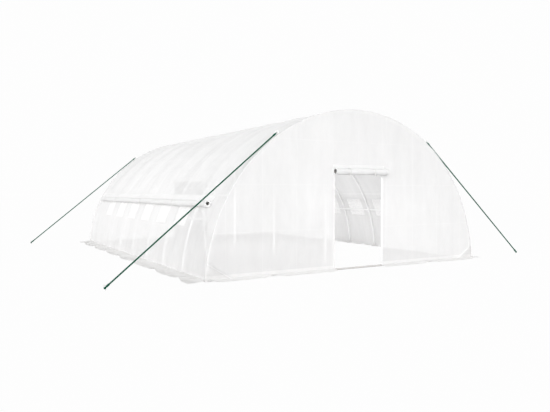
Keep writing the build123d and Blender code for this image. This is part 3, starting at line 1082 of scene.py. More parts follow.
@dataclass
class StandingFrame:
    """The ridge posts, the door frames, the ground rails and the corner braces."""

    layout: Layout
    zinc: bpy.types.Material
    trodden: bpy.types.Material
    post_tube: float = 0.038
    rail_tube: float = 0.032
    brace_tube: float = 0.025
    plate: float = 0.150
    plate_thick: float = 0.006
    foot_plate: float = 0.005
    plate_rounding: float = 0.0018
    plate_bolt_share: float = 0.36
    anchor: tuple[float, float] = (0.016, 0.008)
    tube_rounding: float = 0.001
    rail_rounding: float = 0.0015
    collar_inset: float = 0.03
    collar_length: float = 0.055
    collar_wall: float = 0.0026
    collar_bolt: float = 0.002
    strap_width: float = 0.03
    saddle_place: float = 0.05
    head_gap: float = 0.004
    brace_heights: tuple[float, float] = (0.15, 1.20)
    brace_gap: float = 0.0013
    brace_wall: float = 0.0024
    brace_sink: float = 0.001

    def build(self) -> None:
        """Builds the posts, the door frames, the rails and the braces."""
        self.posts()
        self.door_frames()
        self.rails()
        self.braces()

    def collar(self, piece: Piece, start: Vector, end: Vector, tube: float) -> None:
        """Adds a short sleeve with a bolt at the end of a bar.

        Args:
            piece: The piece that gets it.
            start: The end of the bar.
            end: A point further along the bar.
            tube: The bar's diameter.
        """
        way = (end - start).normalized()
        spot = Matrix.Translation(start + way * self.collar_inset) @ pointed(way)
        piece.band(spot, tube / 2 + FIT, self.collar_length, self.collar_wall)
        piece.bolt(spot @ moved(0, tube / 2 + self.collar_bolt, 0) @ turned(-QUARTER, "X"))

    def posts(self) -> None:
        """Builds the posts under the ridge, each on a bolted plate with a saddle under the purlin."""
        layout, thick, lean = self.layout, self.plate_thick, self.plate * self.plate_bolt_share
        top = layout.arc_centre + layout.purlin_radius - layout.purlin_tube / 2
        foot, head = Vector((0, 0, thick)), Vector((0, 0, top))
        pattern = Piece("post")
        pattern.tube(foot, head, self.post_tube / 2, 16, self.tube_rounding)
        pattern.block((self.plate, self.plate, thick), moved(0, 0, thick / 2), self.plate_rounding)
        self.collar(pattern, foot, head, self.post_tube)
        self.collar(pattern, head, foot, self.post_tube)
        saddle = moved(0, 0, top + layout.purlin_tube / 2) @ turned(QUARTER, "X")
        saddle = saddle @ moved(0, 0, self.saddle_place)
        pattern.band(saddle, layout.purlin_tube / 2 + FIT, self.strap_width, self.collar_wall)
        for across in (-lean, lean):
            for along in (-lean, lean):
                pattern.bolt(moved(across, along, thick), *self.anchor)
        spots = [moved(0, at, 0) for at in layout.hoop_places[1::2]]
        pattern.repeat("ridge_posts", spots, self.zinc, Slot.STEEL, ["centre_posts"])

    def door_frames(self) -> None:
        """Builds the posts beside each doorway and the bar over it."""
        piece, layout, tube = Piece("door_frames"), self.layout, self.post_tube
        place, reach = (layout.door_width + tube) / 2, layout.door_width / 2
        inside = layout.hoop_radius - layout.hoop_tube / 2
        top = layout.arc_centre + math.sqrt(inside**2 - place**2) - self.head_gap
        bar = layout.door_height + self.rail_tube / 2
        for end in End:
            at = end.value * layout.length / 2
            for side in Side:
                foot = Vector((side.value * place, at, self.rail_tube + FIT))
                head = Vector((side.value * place, at, top))
                piece.tube(foot, head, tube / 2, 16, self.tube_rounding)
                self.collar(piece, foot, head, tube)
                self.collar(piece, head, foot, tube)
                near = Vector((side.value * reach, at, bar))
                self.collar(piece, near, Vector((0, at, bar)), self.rail_tube)
            piece.tube(Vector((-reach, at, bar)), Vector((reach, at, bar)), self.rail_tube / 2)
        piece.settle(self.zinc, Slot.STEEL, ["door_posts", "door_headers"])

    def rails(self) -> None:
        """Builds the ground rails along the sides and the sills across the ends."""
        rails, sills = Piece("ground_rails"), Piece("door_sills")
        radius = self.rail_tube / 2
        rail_end, sill_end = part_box("side_rails")[1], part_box("end_rails")[1]
        height = self.foot_plate + FIT + radius
        for side in Side:
            place = side.value * (rail_end.x - radius)
            ends = [Vector((place, way * rail_end.y, height)) for way in (-1, 1)]
            rails.tube(*ends, radius, 16, self.rail_rounding)
        for end in End:
            at = end.value * self.layout.length / 2
            ends = [Vector((way * sill_end.x, at, radius)) for way in (-1, 1)]
            sills.tube(*ends, radius, 16, self.rail_rounding)
        rails.settle(self.zinc, Slot.STEEL, ["side_rails"])
        # The sills take a darker zinc, a painted shade along the foot of each doorway.
        sills.settle(self.trodden, Slot.STEEL, ["end_rails"])

    def braces(self) -> None:
        """Builds the brace in each corner bay, banded to the hoops and bolted at its ends."""
        pattern, layout = Piece("brace"), self.layout
        radius = layout.hoop_radius - layout.hoop_tube / 2 - self.brace_tube / 2 - self.brace_gap
        angles = [layout.angle_at(height, radius) for height in self.brace_heights]
        ends = [layout.point(radius, angle, at) for angle, at in zip(angles, layout.hoop_places)]
        pattern.tube(*ends, self.brace_tube / 2, 14, self.tube_rounding)
        for angle, at in zip(angles, ends):
            spot = layout.radial(angle, at.y)
            out = moved(radius - self.brace_tube / 2 + self.brace_sink, 0, 0)
            pattern.bolt(spot @ out @ turned(-QUARTER, "Y"), *self.anchor)
            hoop = spot @ moved(layout.hoop_radius, 0, 0)
            pattern.band(hoop, layout.hoop_tube / 2 + FIT, self.strap_width, self.brace_wall)
        pattern.repeat("corner_struts", corner_spots(), self.zinc, Slot.STEEL, ["corner_braces"])


@dataclass
class ArchSheet:
    """The one sheet over the hoops, with its windows, their bindings and nets."""

    layout: Layout
    film: bpy.types.Material
    binding: bpy.types.Material
    net: bpy.types.Material
    per_bay: int = 16
    steps: int = 168
    roof_sag: float = 0.024
    side_sag: float = 0.009
    pucker: float = 0.0045
    binding_width: float = 0.024
    net_lap: float = 0.025
    net_depth: float = 0.0025
    overlap: float = 0.0015
    panel_segments: tuple[int, int] = (22, 18)

    def radius_at(self, angle: float, along: float) -> float:
        """Finds the sheet's distance from the centre of bend, slack between the hoops.

        Args:
            angle: The angle round the arc.
            along: The place along the tunnel.

        Returns:
            The radius in metres.
        """
        layout = self.layout
        bay = (along + layout.length / 2) / layout.spacing
        slack = math.sin(math.pi * bay) ** 2
        height = layout.arc_centre + layout.cover_radius * math.sin(angle)
        run = layout.cover_radius * angle
        deep = self.side_sag + (self.roof_sag - self.side_sag) * ease(height, 1.05, 1.75)
        deep *= 0.85 + 0.35 * ripple(run * 0.55, math.floor(bay) * 1.7, 3.1)
        folds = 0.32 * ripple(run * 1.5 + along * 1.2, along * 2.6, 7.7)
        folds += 0.2 * ripple(run * 3.4, along * 5.2 - run, 1.3)
        near = math.exp(-abs(bay - round(bay)) * layout.spacing / 0.14)
        tight = self.pucker * (0.5 + 0.5 * ripple(run * 5.5, round(bay) * 2.3, 5.9)) * near * (1 - near)
        held = ease(height, 0.0, 0.30)
        return layout.cover_radius - held * (max(deep * slack * (1 + folds), 0.0) + 2.2 * tight)

    def surface(self, angle: float, along: float, proud: float = 0.0) -> Vector:
        """A point on the sheet, or proud of it."""
        return self.layout.point(self.radius_at(angle, along) + proud, angle, along)

    def angle_of(self, point: Vector) -> float:
        """The angle of a point round the arc."""
        return math.atan2(point.z - self.layout.arc_centre, point.x)

    def build(self, hoops: Sequence[str]) -> None:
        """Builds the sheet, the window bindings and the nets.

        Args:
            hoops: The names of the hoops that the sheet is stretched over.
        """
        self.sheet(hoops)
        self.bindings()
        for side in Side:
            self.nets(side)

    def in_window(self, point: Vector) -> bool:
        """Tells whether a point lies in one of the window openings.

        Args:
            point: A point of the sheet.

        Returns:
            True inside an opening.
        """
        low, high = self.layout.window_angles
        angle = self.angle_of(point)
        if not low < min(angle, math.pi - angle) < high:
            return False
        return any(abs(point.y - place) < self.layout.window_width / 2 for place in self.layout.window_places)

    def sheet(self, hoops: Sequence[str]) -> None:
        """Builds the sheet itself, spun round the arc from one long edge.

        Args:
            hoops: The names of the hoops that it is stretched over; not used.
        """
        layout = self.layout
        piece = Piece("arch_sheet")
        mesh = piece.mesh
        reach = layout.end_place + self.overlap
        foot, turn = layout.foot_angle, math.pi - 2 * layout.foot_angle
        corners = [mesh.verts.new(layout.point(layout.cover_radius, foot, way * reach)) for way in (-1, 1)]
        edge = mesh.edges.new(corners)
        bmesh.ops.subdivide_edges(mesh, edges=[edge], cuts=layout.bays * self.per_bay - 1)
        centre = Vector((0, 0, layout.arc_centre))
        piece.sweep([*mesh.verts, *mesh.edges], centre, (0, -1, 0), turn, self.steps)
        for place in layout.window_places:
            for way in (-1, 1):
                piece.slice_at("y", place + way * layout.window_width / 2)
        for angle in layout.window_angles:
            for lean in (angle, math.pi - angle):
                piece.slice(centre, Vector((-math.sin(lean), 0, math.cos(lean))))
        piece.open(self.in_window)
        piece.shift(lambda at: self.surface(self.angle_of(at), at.y))
        piece.lay_flat(lambda at: (at.y, layout.cover_radius * (self.angle_of(at) - foot)))
        strips = ("left_lower", "left_middle", "left_upper", "right_upper", "right_middle", "right_lower")
        nodes = ["left_side_cover", "right_side_cover", *(f"roof_cover_{strip}" for strip in strips)]
        made = piece.settle(self.film, Slot.COVER, nodes)
        width = layout.cover_radius * turn
        holes = 2 * len(layout.window_places) * layout.window_width * layout.window_height
        area = width * 2 * reach - holes

    def wrap(self, panel: Piece, side: Side, place: float, proud: float) -> None:
        """Lays a flat panel's cut down, and bends the panel on to the sheet at a window.

        Args:
            panel: The panel, about the origin.
            side: The side of the tunnel.
            place: The window's middle along the tunnel.
            proud: How far it stands out from the sheet.
        """
        middle = sum(self.layout.window_angles) / 2
        panel.lay_flat()
        for vert in panel.mesh.verts:
            angle = middle + vert.co.y / self.layout.cover_radius
            angle = angle if side is Side.RIGHT else math.pi - angle
            vert.co = self.surface(angle, place + vert.co.x, proud)

    def bindings(self) -> None:
        """Builds the sewn tape round every window opening."""
        layout, tape = self.layout, self.binding_width
        width, height = layout.window_width, layout.window_height
        wide, high = width / 2 - HEM, height / 2 - HEM
        piece = Piece("window_bindings")
        for side in Side:
            for place in layout.window_places:
                strip = Piece("tape")
                strip.grid(width + 2 * tape, height + 2 * tape, self.panel_segments)
                for way in (-1, 1):
                    strip.slice_at("x", way * wide)
                    strip.slice_at("y", way * high)
                strip.open(lambda at: abs(at.x) < wide and abs(at.y) < high)
                self.wrap(strip, side, place, SEWN)
                piece.stamp(strip)
        made = piece.settle(self.binding, Slot.COVER)
        flat = (2 * (width + height + 2 * tape), 2 * len(layout.window_places) * (tape + HEM))

    def nets(self, side: Side) -> None:
        """Builds the nets behind one side's windows.

        Args:
            side: The side of the tunnel.
        """
        layout = self.layout
        piece = Piece(f"{side.label}_net_panels")
        width, height = layout.window_width + 2 * self.net_lap, layout.window_height + 2 * self.net_lap
        for place in layout.window_places:
            panel = Piece("net")
            panel.grid(width, height, self.panel_segments)
            self.wrap(panel, side, place, -self.net_depth)
            piece.stamp(panel)
        made = piece.settle(self.net, Slot.NET, [f"{side.label}_window_nets"])
        flat = (len(layout.window_places) * width, height)


@dataclass
class EndSheet:
    """The sheet across one end of the tunnel, with the doorway cut out of it."""

    layout: Layout
    film: bpy.types.Material
    end: End
    binding: bpy.types.Material
    columns: int = 150
    rows: int = 60
    billow: float = 0.011
    tuck: float = 0.018
    tape: float = 0.020
    inset: float = 0.0008

    def proud_at(self, across: float, height: float) -> float:
        """Finds how far the sheet stands out of its plane.

        Args:
            across: The place across the end.
            height: The height of the place.

        Returns:
            The distance in metres.
        """
        layout = self.layout
        seed = 11.0 + self.end.value * 4.0
        aside, above = abs(across) - layout.door_width / 2, height - layout.door_height
        inward = layout.cover_radius - math.hypot(across, height - layout.arc_centre)
        beside = max(aside, above)
        fade = ease(inward, 0.0, 0.45) * ease(height, 0.0, 0.35)
        fade *= 0.25 + 0.75 * ease(beside, 0.0, 0.35)
        drape = 0.5 + 0.6 * ripple(across * 2.1, height * 0.45, seed)
        drape += 0.30 * ripple(across * 5.4 + height * 0.7, height * 0.8, seed + 2)
        drape += 0.14 * ripple(across * 12.0, height * 1.6, seed + 5)
        turn = math.atan2(height - layout.arc_centre, across)
        pull = 0.0035 * (0.5 + 0.5 * ripple(turn * 16.0, 0.4, seed + 7))
        rim = math.exp(-max(inward, 0.0) / 0.16) * ease(inward, 0.0, 0.05)
        corner = math.hypot(aside, above)
        star = 0.5 + 0.5 * math.cos(5.0 * math.atan2(above, aside))
        tug = 0.004 * star * math.exp(-corner / 0.22) * ease(corner, 0.0, 0.06) * ease(beside, 0.0, 0.05)
        fold = (abs(across) - TUCK_START) * TUCK_SLOPE - height
        ridge = ease(fold, -0.022, 0.018) * (1 - 0.8 * ease(fold, 0.0, 0.20))
        tucked = self.tuck * ridge * ease(inward, 0.0, 0.10)
        return max(self.billow * drape, 0.0) * fade + pull * rim + tug + tucked

    def cut_doorway(self, piece: Piece, up: str, lap: float) -> None:
        """Cuts the doorway out of a flat sheet.

        Args:
            piece: The sheet.
            up: The axis that its height runs along.
            lap: How far the sheet reaches into the doorway.
        """
        half, top = self.layout.door_width / 2 - lap, self.layout.door_height - lap
        for way in (-1, 1):
            piece.slice_at("x", way * half)
        piece.slice_at(up, top)
        piece.open(lambda at: abs(at.x) < half and getattr(at, up) < top)

    def drape(self, across: float, height: float, lift: float = 0.0) -> Vector:
        """The place on the draped sheet, or lifted off it, of a place on the flat one."""
        proud = self.proud_at(across, height) + lift
        return Vector((across, self.end.value * (self.layout.end_place + proud), height))

    def build(self) -> None:
        """Builds the sheet and the binding round its doorway."""
        self.sheet()
        self.doorway_binding()

    def doorway_binding(self) -> None:
        """Builds the sewn tape down the jambs and across the top of the doorway."""
        layout, name = self.layout, self.end.label
        top = layout.door_height + self.tape
        piece = Piece(f"{name}_door_binding")
        high = top - layout.sheet_foot
        piece.grid(2 * (layout.door_width / 2 + self.tape), high, (36, 56), (0, layout.sheet_foot + high / 2))
        self.cut_doorway(piece, "y", HEM)
        piece.lay_flat()
        piece.shift(lambda at: self.drape(at.x, at.y, SEWN))
        made = piece.settle(self.binding, Slot.COVER, outward=False)
        flat = (2 * top + layout.door_width, self.tape + HEM)

    def sheet(self) -> None:
        """Builds the sheet itself: a grid drawn out to the arch, cut for the doorway and draped."""
        layout, name, foot = self.layout, self.end.label, self.layout.sheet_foot
        piece = Piece(f"{name}_end_sheet")
        mesh = piece.mesh
        piece.grid(2.0, 2.0, (self.columns, self.rows))
        radius = layout.cover_radius - self.inset
        low = layout.angle_at(foot, radius)
        for vert in mesh.verts:
            top = layout.point(radius, QUARTER - vert.co.x * (QUARTER - low))
            vert.co = Vector((top.x, 0, foot + (top.z - foot) * (vert.co.y + 1) / 2))
        bmesh.ops.remove_doubles(mesh, verts=mesh.verts, dist=10 * SAME)
        self.cut_doorway(piece, "z", 0.0)
        piece.lay_flat(lambda at: at.xz)
        piece.shift(lambda at: self.drape(at.x, at.z))
        bmesh.ops.recalc_face_normals(mesh, faces=mesh.faces)
        if sum(face.normal.y for face in mesh.faces) * self.end.value < 0:
            bmesh.ops.reverse_faces(mesh, faces=mesh.faces)
        nodes = [f"{name}_cover_{part}" for part in ("left", "top", "right")]
        made = piece.settle(self.film, Slot.COVER, nodes, outward=False)
        drop = foot - layout.arc_centre
        arch = radius**2 * math.acos(drop / radius) - drop * math.sqrt(radius**2 - drop**2)
        area = arch - layout.door_width * (layout.door_height - foot)
        flat = (2 * radius, radius + layout.arc_centre - foot)


@dataclass
class GroundFlaps:
    """The sheet's lower edges, turned out and lying loosely on the ground."""

    layout: Layout
    film: bpy.types.Material
    side_width: float = 0.300
    end_width: float = 0.120
    lift: float = 0.045
    scallop: float = 1.18
    bend: float = 0.035
    thick: float = 0.0022
    under: float = 0.001
    column: float = 0.035
    rows: int = 8

    def build(self) -> None:
        """Builds the flaps of the sides and of the ends."""
        self.side_flaps()
        self.end_flaps()

    def strip(self, length: float, width: float, seed: float) -> Piece:
        """Makes a loose strip.

        Args:
            length: Its length along x.
            width: Its width along y.
            seed: What sets its waves apart from another strip's.

        Returns:
            The strip, from its fold at y = 0 out to its edge, with its middle at x = 0.
        """
        piece = Piece("strip")
        piece.grid(length, width, (max(int(length / self.column), 4), self.rows), (0, width / 2))
        piece.lay_flat()
        for vert in piece.mesh.verts:
            along, share = vert.co.x, vert.co.y / width
            swing = along / self.scallop + 0.22 * ripple(along * 0.5, 0.3, seed + 15)
            bulge = abs(math.sin(math.pi * swing))
            gather = math.exp(-((bulge / 0.34) ** 2))
            wave = 0.55 * ripple(along * 1.9, share * 0.8, seed)
            wave += 0.50 * ripple(along * 6.0, share * 1.2, seed + 3)
            fine = 0.25 * ripple(along * 15.0, share * 2.0, seed + 6)
            rise = max(wave * 0.6 + fine + 0.75 * gather, 0.0)
            rise *= math.sin(min(share * 1.15, 1.0) * math.pi * 0.72)
            edge = 0.80 + 0.18 * bulge**0.7 + 0.06 * ripple(along * 5.0, 0.5, seed + 9)
            vert.co.y = width * share * (1 + (edge - 1) * share)
            vert.co.z = self.thick + self.lift * rise + self.bend * (1 - share) ** 3
        return piece

    def side_flaps(self) -> None:
        """Builds the flaps along both sides."""
        layout, piece = self.layout, Piece("side_flap_strips")
        length = 2 * layout.end_place
        inner = layout.cover_radius * math.cos(layout.foot_angle) - self.under
        for side in Side:
            strip = self.strip(length, self.side_width, 20.0 + 5 * side.value)
            piece.stamp(strip, [mirrored(moved(inner, 0, 0) @ turned(-QUARTER, "Z"), side)])
        made = piece.settle(self.film, Slot.COVER, ["side_ground_flaps"])

    def end_flaps(self) -> None:
        """Builds the flaps beside both doorways."""
        layout, piece = self.layout, Piece("end_flap_strips")
        start, stop = layout.door_width / 2, layout.cover_radius * math.cos(layout.foot_angle)
        for end in End:
            for side in Side:
                strip = self.strip(stop - start, self.end_width, 40.0 + 5 * side.value + 9 * end.value)
                spot = moved(side.value * (start + stop) / 2, end.value * layout.end_place, 0)
                piece.stamp(strip, [spot @ Matrix.Diagonal((side.value, end.value, 1.0, 1.0))])
        made = piece.settle(self.film, Slot.COVER, ["end_ground_flaps"])


@dataclass
class RolledSheet:
    """A sheet rolled up by hand, tied with straps, and its tail sewn to the cover above it."""

    film: bpy.types.Material
    strap: bpy.types.Material
    radius: float
    length: float
    half_turns: int
    step: float
    tail: float
    straps: tuple[float, ...]
    strap_width: float = 0.022
    strap_thick: float = 0.0016
    strap_tab: float = 0.05
    strap_end: float = 0.050
    strap_rounding: float = 0.0006
    strap_drop: float = 0.008
    strap_pinch: float = 0.055
    buckle: tuple[float, float] = (0.004, 0.018)
    buckle_lap: float = 0.005
    buckle_rounding: float = 0.0012
    row: float = 0.055
    end_inset: float = 0.005
    end_gap: float = 0.002
    end_run: float = 0.35
    droop: float = 0.010

    @property
    def core(self) -> float:
        """The radius of the first half turn, round the hollow middle."""
        return self.radius - self.step * (self.half_turns - 1)

    def coil(self, piece: Piece) -> list[bmesh.types.BMEdge]:
        """Draws the rolled sheet's edge: half circles about two centres, then the tail.

        Args:
            piece: The piece that gets it, in the plane of x out from the cover and y up.

        Returns:
            The edges of the line.
        """
        mesh = piece.mesh
        tip = mesh.verts.new((self.core, 0, 0))
        for turn in range(self.half_turns):
            middle = 0.0 if turn % 2 == 0 else self.step
            made = piece.sweep([tip], (middle, 0, 0), (0, 0, -1), math.pi, 10)
            tip = only(bmesh.types.BMVert, made)[0]
        for share in (0.25, 0.5, 0.75, 1.0):
            tip = bmesh.ops.extrude_vert_indiv(mesh, verts=[tip])["verts"][0]
            tip.co = Vector((-self.radius, self.tail * share, 0))
        return list(mesh.edges)

    def unroll(self, piece: Piece) -> dict[tuple[float, float], float]:
        """Measures the coil's line from the hem in the core.

        Args:
            piece: The piece, with nothing but that line.

        Returns:
            How far along the sheet each point of the line lies.
        """
        lengths: dict[tuple[float, float], float] = {}
        run, before = 0.0, None
        for vert in piece.mesh.verts:
            run += (vert.co - before).length if before else 0.0
            before = vert.co.copy()
            lengths[(before.x, before.y)] = run
        return lengths

    def pack_ends(self, piece: Piece) -> None:
        """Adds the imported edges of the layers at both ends: a flat ring about the hollow core.

        Args:
            piece: The rolled sheet.
        """
        for way in (-1, 1):
            spot = moved(self.step / 2, 0, way * (self.length / 2 - self.end_inset))
            reaches = (self.core, self.radius - self.end_gap)
            rims = [piece.mesh.verts.new(spot @ Vector((reach, 0, 0))) for reach in reaches]
            piece.turn_about([*rims, piece.mesh.edges.new(rims)], spot, 28)

    def slack(self, along: float, turn: float, seed: float) -> float:
        """Finds how much of its full radius the roll has.

        Args:
            along: The place along the roll.
            turn: The angle round it.
            seed: What sets its waves apart from another roll's.

        Returns:
            The share, which is least under a strap.
        """
        pinch = sum(math.exp(-(((along - at) / self.strap_pinch) ** 2)) for at in self.straps)
        wave = 0.045 * ripple(along * 3.2, turn * 0.7, seed)
        wave += 0.035 * ripple(along * 9.0, turn * 1.6, seed + 4)
        return min(0.955 + wave, 1.0) - 0.13 * min(pinch, 1.0)

    def loosen(self, point: Vector, seed: float) -> Vector:
        """Slackens one point of the neat roll, and leaves the sewn edge of its tail alone.

        Args:
            point: The point.
            seed: What sets its waves apart from another roll's.

        Returns:
            Where it comes to lie.
        """
        free = 1 - ease(point.y, self.radius, self.tail) if point.x < -self.radius * 0.98 else 1.0
        turn = math.atan2(point.y, point.x)
        share = 1 - (1 - self.slack(point.z, turn, seed)) * free
        ends = ease(abs(point.z), self.length / 2 - self.end_run, self.length / 2)
        droop = self.droop * free * (1 + ripple(point.z * 1.1, 0.2, seed + 8)) * (1 - 0.5 * ends)
        inwards = self.radius * (1 - share) * 0.6 * free
        return Vector((point.x * share - inwards, point.y * share - droop, point.z))

    def roll(self, name: str, node: str, place: Placer, seed: float) -> None:
        """Builds one rolled sheet.

        Args:
            name: The piece's name.
            node: The CAD node that it replaces.
            place: Carries a point of the roll, with its length along z, to the tunnel.
            seed: What sets its waves apart from another roll's.
        """
        piece = Piece(name)
        mesh = piece.mesh
        edges = self.coil(piece)
        unrolled = self.unroll(piece)
        rows = max(int(self.length / self.row), 12)
        bmesh.ops.translate(mesh, verts=mesh.verts, vec=(0, 0, -self.length / 2))
        for _ in range(rows):
            grown = bmesh.ops.extrude_edge_only(mesh, edges=edges)["geom"]
            fresh = set(only(bmesh.types.BMVert, grown))
            edges = [edge for edge in only(bmesh.types.BMEdge, grown) if fresh.issuperset(edge.verts)]
            bmesh.ops.translate(mesh, verts=list(fresh), vec=(0, 0, self.length / rows))
        self.pack_ends(piece)
        bmesh.ops.recalc_face_normals(mesh, faces=mesh.faces)
        piece.lay_flat(lambda at: (at.z, unrolled.get((at.x, at.y), 1.0)))
        piece.shift(lambda at: place(self.loosen(at, seed)))
        made = piece.settle(self.film, Slot.ROLLED, [node], sharp=1.4, outward=False)
        turns = sum(self.core + self.step * turn for turn in range(self.half_turns))
        flat = (math.pi * turns + self.tail, self.length)

    def ties(self, name: str, node: str, places: Sequence[Placer]) -> None:
        """Builds the straps round one or more rolls.

        Args:
            name: The piece's name.
            node: The CAD node that it replaces.
            places: Carry a point of a roll to the tunnel, one for each roll.
        """
        piece = Piece(name)
        reach, width, thick = self.radius * 0.90, self.strap_width, self.strap_thick
        for place in places:
            for at in self.straps:
                strap = Piece("strap")
                strap.band(moved(-self.radius * 0.06, -self.strap_drop, at), reach, width, thick, 28)
                tab = moved(-self.radius + 0.001, self.strap_tab / 2, at)
                strap.block((thick, self.strap_tab, width), tab, self.strap_rounding)
                buckle = moved(reach * 0.86, -reach * 0.42, at) @ turned(-0.45, "Z")
                strap.block((*self.buckle, width + self.buckle_lap), buckle, self.buckle_rounding)
                loose = moved(reach * 0.74, -reach * 0.72 - 0.024, at + 0.002) @ turned(-0.12, "Z")
                strap.block((thick, self.strap_end, width * 0.92), loose, self.strap_rounding)
                strap.shift(place)
                piece.stamp(strap)
        piece.settle(self.strap, Slot.STRAP, [node])


@dataclass
class WindowRolls:
    """The long flaps over the windows, rolled up and tied under the seam on both sides."""

    layout: Layout
    arch: ArchSheet
    film: bpy.types.Material
    strap: bpy.types.Material
    height: float = 1.20
    out: float = 0.0641
    radius: float = 0.060
    length: float = 7.10
    half_turns: int = 5
    step: float = 0.0075
    tail: float = 0.178
    straps: tuple[float, ...] = (-1.9875, 0.0, 1.9875)
    seed: float = 30.0

    def placer(self, side: Side) -> Placer:
        """Makes what carries a point of the roll to one side of the tunnel.

        Args:
            side: The side.

        Returns:
            The function that carries it.
        """
        centre = self.layout.cover_radius + self.out
        angle = self.layout.angle_at(self.height, centre)

        def place(point: Vector) -> Vector:
            """Carries a point, with the tail lying on the sheet.

            Args:
                point: The point of the roll.

            Returns:
                Its place on the tunnel.
            """
            spot = self.layout.radial(angle, point.z) @ Vector((centre + point.x, 0, point.y))
            rising = ease(point.y, self.radius, self.tail)
            if point.x < -self.radius * 0.9 and rising > 0:
                spot = spot.lerp(self.arch.surface(angle + point.y / centre, point.z, SEWN), rising)
            return mirrored(Matrix.Translation(spot), side).translation

        return place

    def build(self) -> None:
        """Builds both rolls and their straps."""
        sizes = (self.radius, self.length, self.half_turns, self.step, self.tail, self.straps)
        rolled = RolledSheet(self.film, self.strap, *sizes)
        for side in Side:
            name, seed = side.label, self.seed + side.value
            rolled.roll(f"{name}_flap_roll", f"{name}_window_roll", self.placer(side), seed)
        rolled.ties("flap_ties", "window_roll_straps", [self.placer(side) for side in Side])


@dataclass
class DoorRolls:
    """The door sheets, rolled up and tied over the doorways."""

    layout: Layout
    film: bpy.types.Material
    strap: bpy.types.Material
    height: float = 1.750
    out: float = 0.0691
    radius: float = 0.065
    length: float = 1.17
    half_turns: int = 11
    step: float = 0.0025
    tail: float = 0.110
    straps: tuple[float, ...] = (-0.28, 0.28)
    seed: float = 50.0

    def placer(self, end: End) -> Placer:
        """What carries a point of the roll to one end of the tunnel."""
        centre = self.layout.end_place + self.out
        return lambda at: Vector((at.z, end.value * (centre + at.x), self.height + at.y))

    def build(self) -> None:
        """Builds both rolls and their straps."""
        sizes = (self.radius, self.length, self.half_turns, self.step, self.tail, self.straps)
        rolled = RolledSheet(self.film, self.strap, *sizes)
        for end in End:
            name, seed = end.label, self.seed + end.value
            rolled.roll(f"{name}_door_sheet", f"{name}_door_roll", self.placer(end), seed)
        rolled.ties("door_ties", "door_roll_straps", [self.placer(end) for end in End])


